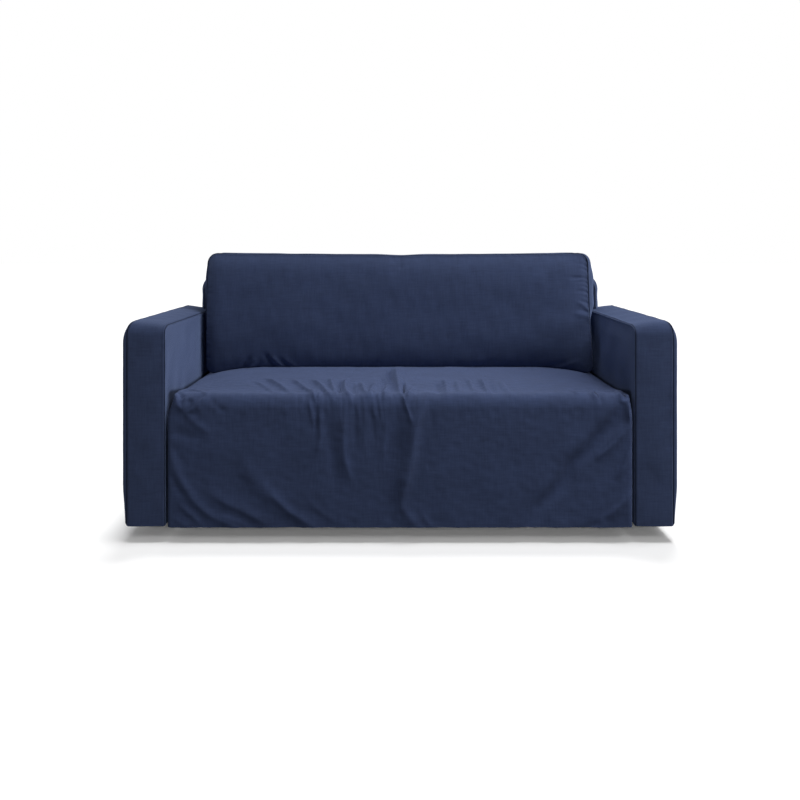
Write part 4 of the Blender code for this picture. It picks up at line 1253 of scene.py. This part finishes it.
def daylight(name, direction, angle, strength):
    """An even light over the whole floor, from a patch of sky this many degrees wide."""
    data = bpy.data.lights.new(name, "SUN")
    data.angle = math.radians(angle)
    data.energy = strength
    return aim(name, data, direction * SUN_DISTANCE, direction)


def only_for(light, name, objects, blockers=None):
    """The light falls on these objects alone, and only blockers, where given, shade them from it."""
    group = bpy.data.collections.new(name)
    for thing in objects:
        group.objects.link(thing)
    light.light_linking.receiver_collection = group
    if blockers:
        shades = bpy.data.collections.new(name + "_blockers")
        for thing in blockers:
            shades.objects.link(thing)
        light.light_linking.blocker_collection = shades


def pale_floor(seen, bounced):
    """A white floor: its own brightness to the eye, and a darker one in the light that it throws back."""
    material = bpy.data.materials.new("pale_floor")
    material.use_nodes = True
    nodes, links = material.node_tree.nodes, material.node_tree.links
    shader = nodes["Principled BSDF"]
    shader.inputs["Roughness"].default_value = 0.95
    shader.inputs["Specular IOR Level"].default_value = 0.0
    path = nodes.new("ShaderNodeLightPath")
    mix = nodes.new("ShaderNodeMixRGB")
    mix.inputs["Color1"].default_value = (bounced, bounced, bounced, 1)
    mix.inputs["Color2"].default_value = (seen, seen, seen, 1)
    links.new(path.outputs["Is Camera Ray"], mix.inputs["Fac"])
    links.new(mix.outputs["Color"], shader.inputs["Base Color"])
    return material


def white_surroundings(ambient):
    """White to the eye, and an even soft light on everything."""
    world = bpy.data.worlds.new("white_surroundings")
    world.use_nodes = True
    nodes, links = world.node_tree.nodes, world.node_tree.links
    path = nodes.new("ShaderNodeLightPath")
    strength = nodes.new("ShaderNodeMix")
    strength.inputs["A"].default_value = ambient
    strength.inputs["B"].default_value = 1.0
    links.new(path.outputs["Is Camera Ray"], strength.inputs["Factor"])
    links.new(strength.outputs["Result"], nodes["Background"].inputs["Strength"])
    nodes["Background"].inputs["Color"].default_value = (1, 1, 1, 1)
    bpy.context.scene.world = world


MIDDLE = Vector((0, FRONT_FACE + 0.3, HEM + 0.4))   # the softboxes point at this place
SOFTBOX_DISTANCE = 4
SUN_DISTANCE = 5          # it only says where a sun's symbol stands
FLOOR_TONE = 0.9

# A light on the cover: azimuth and elevation in degrees, size in metres and share of the stage's power. It
# falls on all panels, on one only, or on all but one. In one that goes past the cushion, neither the cushion
# nor the back casts a shade.
Softbox = namedtuple("Softbox", "name azimuth elevation size share only but past_cushion",
                     defaults=(None, None, False))
SOFTBOXES = (
    Softbox("key", 52, 57, 2.4, 0.88),
    Softbox("side_high", 42, 54, 1.5, 0.26, but="cushion_front"),
    Softbox("side_low", 24, 20, 1.5, 0.13, but="seat_sheet"),
    Softbox("side_mid", 48, 57, 1.8, 0.125, only="seat_sheet"),
    Softbox("seat_top", -70, 60, 2.0, 0.50, only="seat_sheet", past_cushion=True),
    Softbox("seat_rear", -30, 27, 1.6, 0.66, only="seat_sheet", past_cushion=True),
    Softbox("seat_front", 45, 28, 1.5, 0.17, only="seat_sheet"),
    Softbox("seat_side", 15, 22, 1.5, 0.16, only="seat_sheet"),
    Softbox("left", 148, 33, 2.0, 0.075),
    Softbox("rear", -95, 36, 2.4, 0.40, but="arm_inside_right"),
    Softbox("above", 5, 64, 2.0, 0.30, only="cushion_front"),
    Softbox("low", 20, 15, 1.3, 0.30, only="cushion_front"),
)
# The light on the floor: azimuth, elevation and width in degrees, and its share
FLOOR_LIGHTS = (
    ("floor_rear", -80, 69, 14, 0.27),
    ("floor_top", 10, 83, 14, 0.30),
    ("floor_front", 80, 77, 14, 0.15),
    ("floor_low", 80, 32, 18, 0.14),
    ("floor_lowest", 100, 13, 10, 0.14),
)


def lit_panels(box, panels):
    """The panels that a softbox falls on."""
    if box.only:
        return [panel for panel in panels if panel.name == f"{box.only}_cloth"]
    return [panel for panel in panels if panel.name != f"{box.but}_cloth"]


def lay_floor(stage, height):
    """A wide floor at this height."""
    reach = stage.floor_reach
    corners = [(x * reach, y * reach, height) for x, y in ((-1, -1), (1, -1), (1, 1), (-1, 1))]
    mesh = bpy.data.meshes.new("floor")
    mesh.from_pydata(corners, [], [(0, 1, 2, 3)])
    mesh.materials.append(pale_floor(FLOOR_TONE, stage.bounce))
    floor = bpy.data.objects.new("floor", mesh)
    bpy.context.scene.collection.objects.link(floor)
    floor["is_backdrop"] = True
    return floor


def hang_lights(stage, floor):
    """The lights on the cover and those on the floor."""
    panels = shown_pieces()
    arms_and_seat = [panel for panel in panels if panel.name.startswith(("arm_", "seat_"))]
    for box in SOFTBOXES:
        light = add_softbox(box, stage.power)
        blockers = arms_and_seat if box.past_cushion else None
        only_for(light, f"lit_by_{box.name}", lit_panels(box, panels), blockers)
    for name, azimuth, elevation, angle, share in FLOOR_LIGHTS:
        direction = towards(azimuth, elevation)
        light = daylight(name, direction, angle, share * stage.floor_light / direction.z)
        only_for(light, f"lit_by_{name}", [floor])


def set_camera(stage, floor_height):
    """A level camera in front of the cover."""
    scene = bpy.context.scene
    data = bpy.data.cameras.new("camera")
    data.sensor_width = 36
    data.lens = stage.lens
    data.shift_y = stage.shift
    camera = bpy.data.objects.new("camera", data)
    camera.location = (0, FRONT_FACE - stage.distance, floor_height + stage.eye_height)
    camera.rotation_euler = (math.pi / 2, 0, 0)
    scene.collection.objects.link(camera)
    scene.camera = camera


def studio():
    """Floor, lights and camera."""
    stage = bpy.context.scene.cover_stage
    bpy.context.scene.view_settings.view_transform = "Standard"
    floor_height = HEM - FLOOR_DROP
    floor = lay_floor(stage, floor_height)
    white_surroundings(stage.ambient)
    hang_lights(stage, floor)
    set_camera(stage, floor_height)


# ---------------------------------------------------------------- properties, operators and panel

class ClothSettings(bpy.types.PropertyGroup):
    """Colour and weave of the cover's cloth."""
    navy: FloatVectorProperty(
        name="Navy", description="Colour of the cloth",
        default=(0.034, 0.050, 0.112), size=3, min=0, max=1, subtype="COLOR")
    yarn_pitch: FloatProperty(
        name="Yarn pitch", description="Distance from one yarn to the next",
        default=0.0009, min=0.0002, max=0.01, unit="LENGTH", precision=5)
    slub_contrast: FloatProperty(
        name="Slubs", description="How much thick and thin yarns differ in tone",
        default=0.26, min=0, max=2)
    patch_contrast: FloatProperty(
        name="Fading", description="How much soft patches differ in tone",
        default=0.22, min=0, max=1)
    # how much darker the painted shade makes the cloth in seams, in the gaps beside the seat and on the panels'
    # backs
    seam_painted_shade: FloatProperty(
        name="Seam shade", description="How much darker the cloth is inside a seam",
        default=0.85, min=0, max=1, subtype="FACTOR")
    bump: FloatProperty(
        name="Relief", description="Strength of the weave's relief",
        default=0.35, min=0, max=1, subtype="FACTOR")
    sheen: FloatProperty(
        name="Sheen", description="Soft brightness of the cloth at a glancing view",
        default=0.56, min=0, max=1, subtype="FACTOR")
    roughness: FloatProperty(
        name="Roughness", description="Roughness of the cloth",
        default=0.92, min=0, max=1, subtype="FACTOR")


class StageSettings(bpy.types.PropertyGroup):
    """Camera and light."""
    distance: FloatProperty(
        name="Distance", description="From the camera to the arms' front faces",
        default=3.2, min=0.5, max=20, unit="LENGTH")
    eye_height: FloatProperty(
        name="Eye height", description="Height of the camera above the floor",
        default=0.8933, min=0, max=5, unit="LENGTH")
    lens: FloatProperty(
        name="Lens", description="Focal length in millimetres",
        default=48.36, min=10, max=300)
    shift: FloatProperty(
        name="Shift", description="Vertical shift of the frame, as a share of its width",
        default=-0.19625, min=-1, max=1)
    power: FloatProperty(
        name="Power", description="Power that the lights on the cover share",
        default=94, min=0, max=5000, unit="POWER")
    floor_light: FloatProperty(
        name="Floor light", description="Strength of the light on the floor",
        default=3.8, min=0, max=50)
    floor_reach: FloatProperty(
        name="Floor reach", description="Half the floor's side",
        default=40, min=2, max=200, unit="LENGTH")
    bounce: FloatProperty(
        name="Bounce", description="Share of its light that the floor throws back",
        default=0.16, min=0, max=1, subtype="FACTOR")
    ambient: FloatProperty(
        name="Ambient", description="Strength of the even light",
        default=0.11, min=0, max=5)


class COVER_OT_arm_strips(bpy.types.Operator):
    """Sew the strips over the fronts, tops and rears of both arms"""
    bl_idname = "cover.arm_strips"
    bl_label = "Arm strips"

    def execute(self, context):
        arm_strip("left", -1)
        arm_strip("right", 1)
        return {"FINISHED"}


class COVER_OT_arm_sides(bpy.types.Operator):
    """Sew the inner and outer side panels of both arms"""
    bl_idname = "cover.arm_sides"
    bl_label = "Arm sides"

    def execute(self, context):
        for word, side in (("left", -1), ("right", 1)):
            for kind in ARM_SIDES:
                arm_side(kind, word, side)
        return {"FINISHED"}


class COVER_OT_back(bpy.types.Operator):
    """Sew the back's strip and its two panels"""
    bl_idname = "cover.back"
    bl_label = "Back"

    def execute(self, context):
        back_strip()
        back_panel("back_outside", DEPTH, facing=1, low=0.0, step=0.012)
        back_panel("back_inside", BACK_FRONT, facing=-1, low=BACK_TUCK, step=0.022)
        return {"FINISHED"}


class COVER_OT_seat(bpy.types.Operator):
    """Drape the loose sheet over the seat and down the front"""
    bl_idname = "cover.seat"
    bl_label = "Seat sheet"

    def execute(self, context):
        seat_sheet()
        return {"FINISHED"}


class COVER_OT_cushion(bpy.types.Operator):
    """Sew the back cushion's cover"""
    bl_idname = "cover.cushion"
    bl_label = "Back cushion"

    def execute(self, context):
        cushion_front()
        cushion_strip()
        cushion_back()
        return {"FINISHED"}


class COVER_OT_stage(bpy.types.Operator):
    """Set up the pale floor, the soft lights and the camera"""
    bl_idname = "cover.stage"
    bl_label = "Stage"

    def execute(self, context):
        studio()
        return {"FINISHED"}


OPERATORS = (COVER_OT_arm_strips, COVER_OT_arm_sides, COVER_OT_back, COVER_OT_seat, COVER_OT_cushion,
             COVER_OT_stage)


class COVER_PT_panel(bpy.types.Panel):
    """Lists the steps and the settings"""
    bl_idname = "COVER_PT_panel"
    bl_label = "Fitted sofa cover"
    bl_space_type = "VIEW_3D"
    bl_region_type = "UI"
    bl_category = "Cover"

    def draw(self, context):
        column = self.layout.column()
        for operator in OPERATORS:
            column.operator(operator.bl_idname)
        for settings in (context.scene.cover_cloth, context.scene.cover_stage):
            for name in settings.__annotations__:
                column.prop(settings, name)


CLASSES = (ClothSettings, StageSettings, *OPERATORS, COVER_PT_panel)


def register():
    for cls in CLASSES:
        bpy.utils.register_class(cls)
    bpy.types.Scene.cover_cloth = PointerProperty(type=ClothSettings)
    bpy.types.Scene.cover_stage = PointerProperty(type=StageSettings)


def unregister():
    del bpy.types.Scene.cover_stage
    del bpy.types.Scene.cover_cloth
    for cls in reversed(CLASSES):
        bpy.utils.unregister_class(cls)


def main():
    register()
    bpy.ops.cover.arm_strips()
    bpy.ops.cover.arm_sides()
    bpy.ops.cover.back()
    bpy.ops.cover.seat()
    bpy.ops.cover.cushion()
    bpy.ops.cover.stage()


if __name__ == "__main__":
    main()
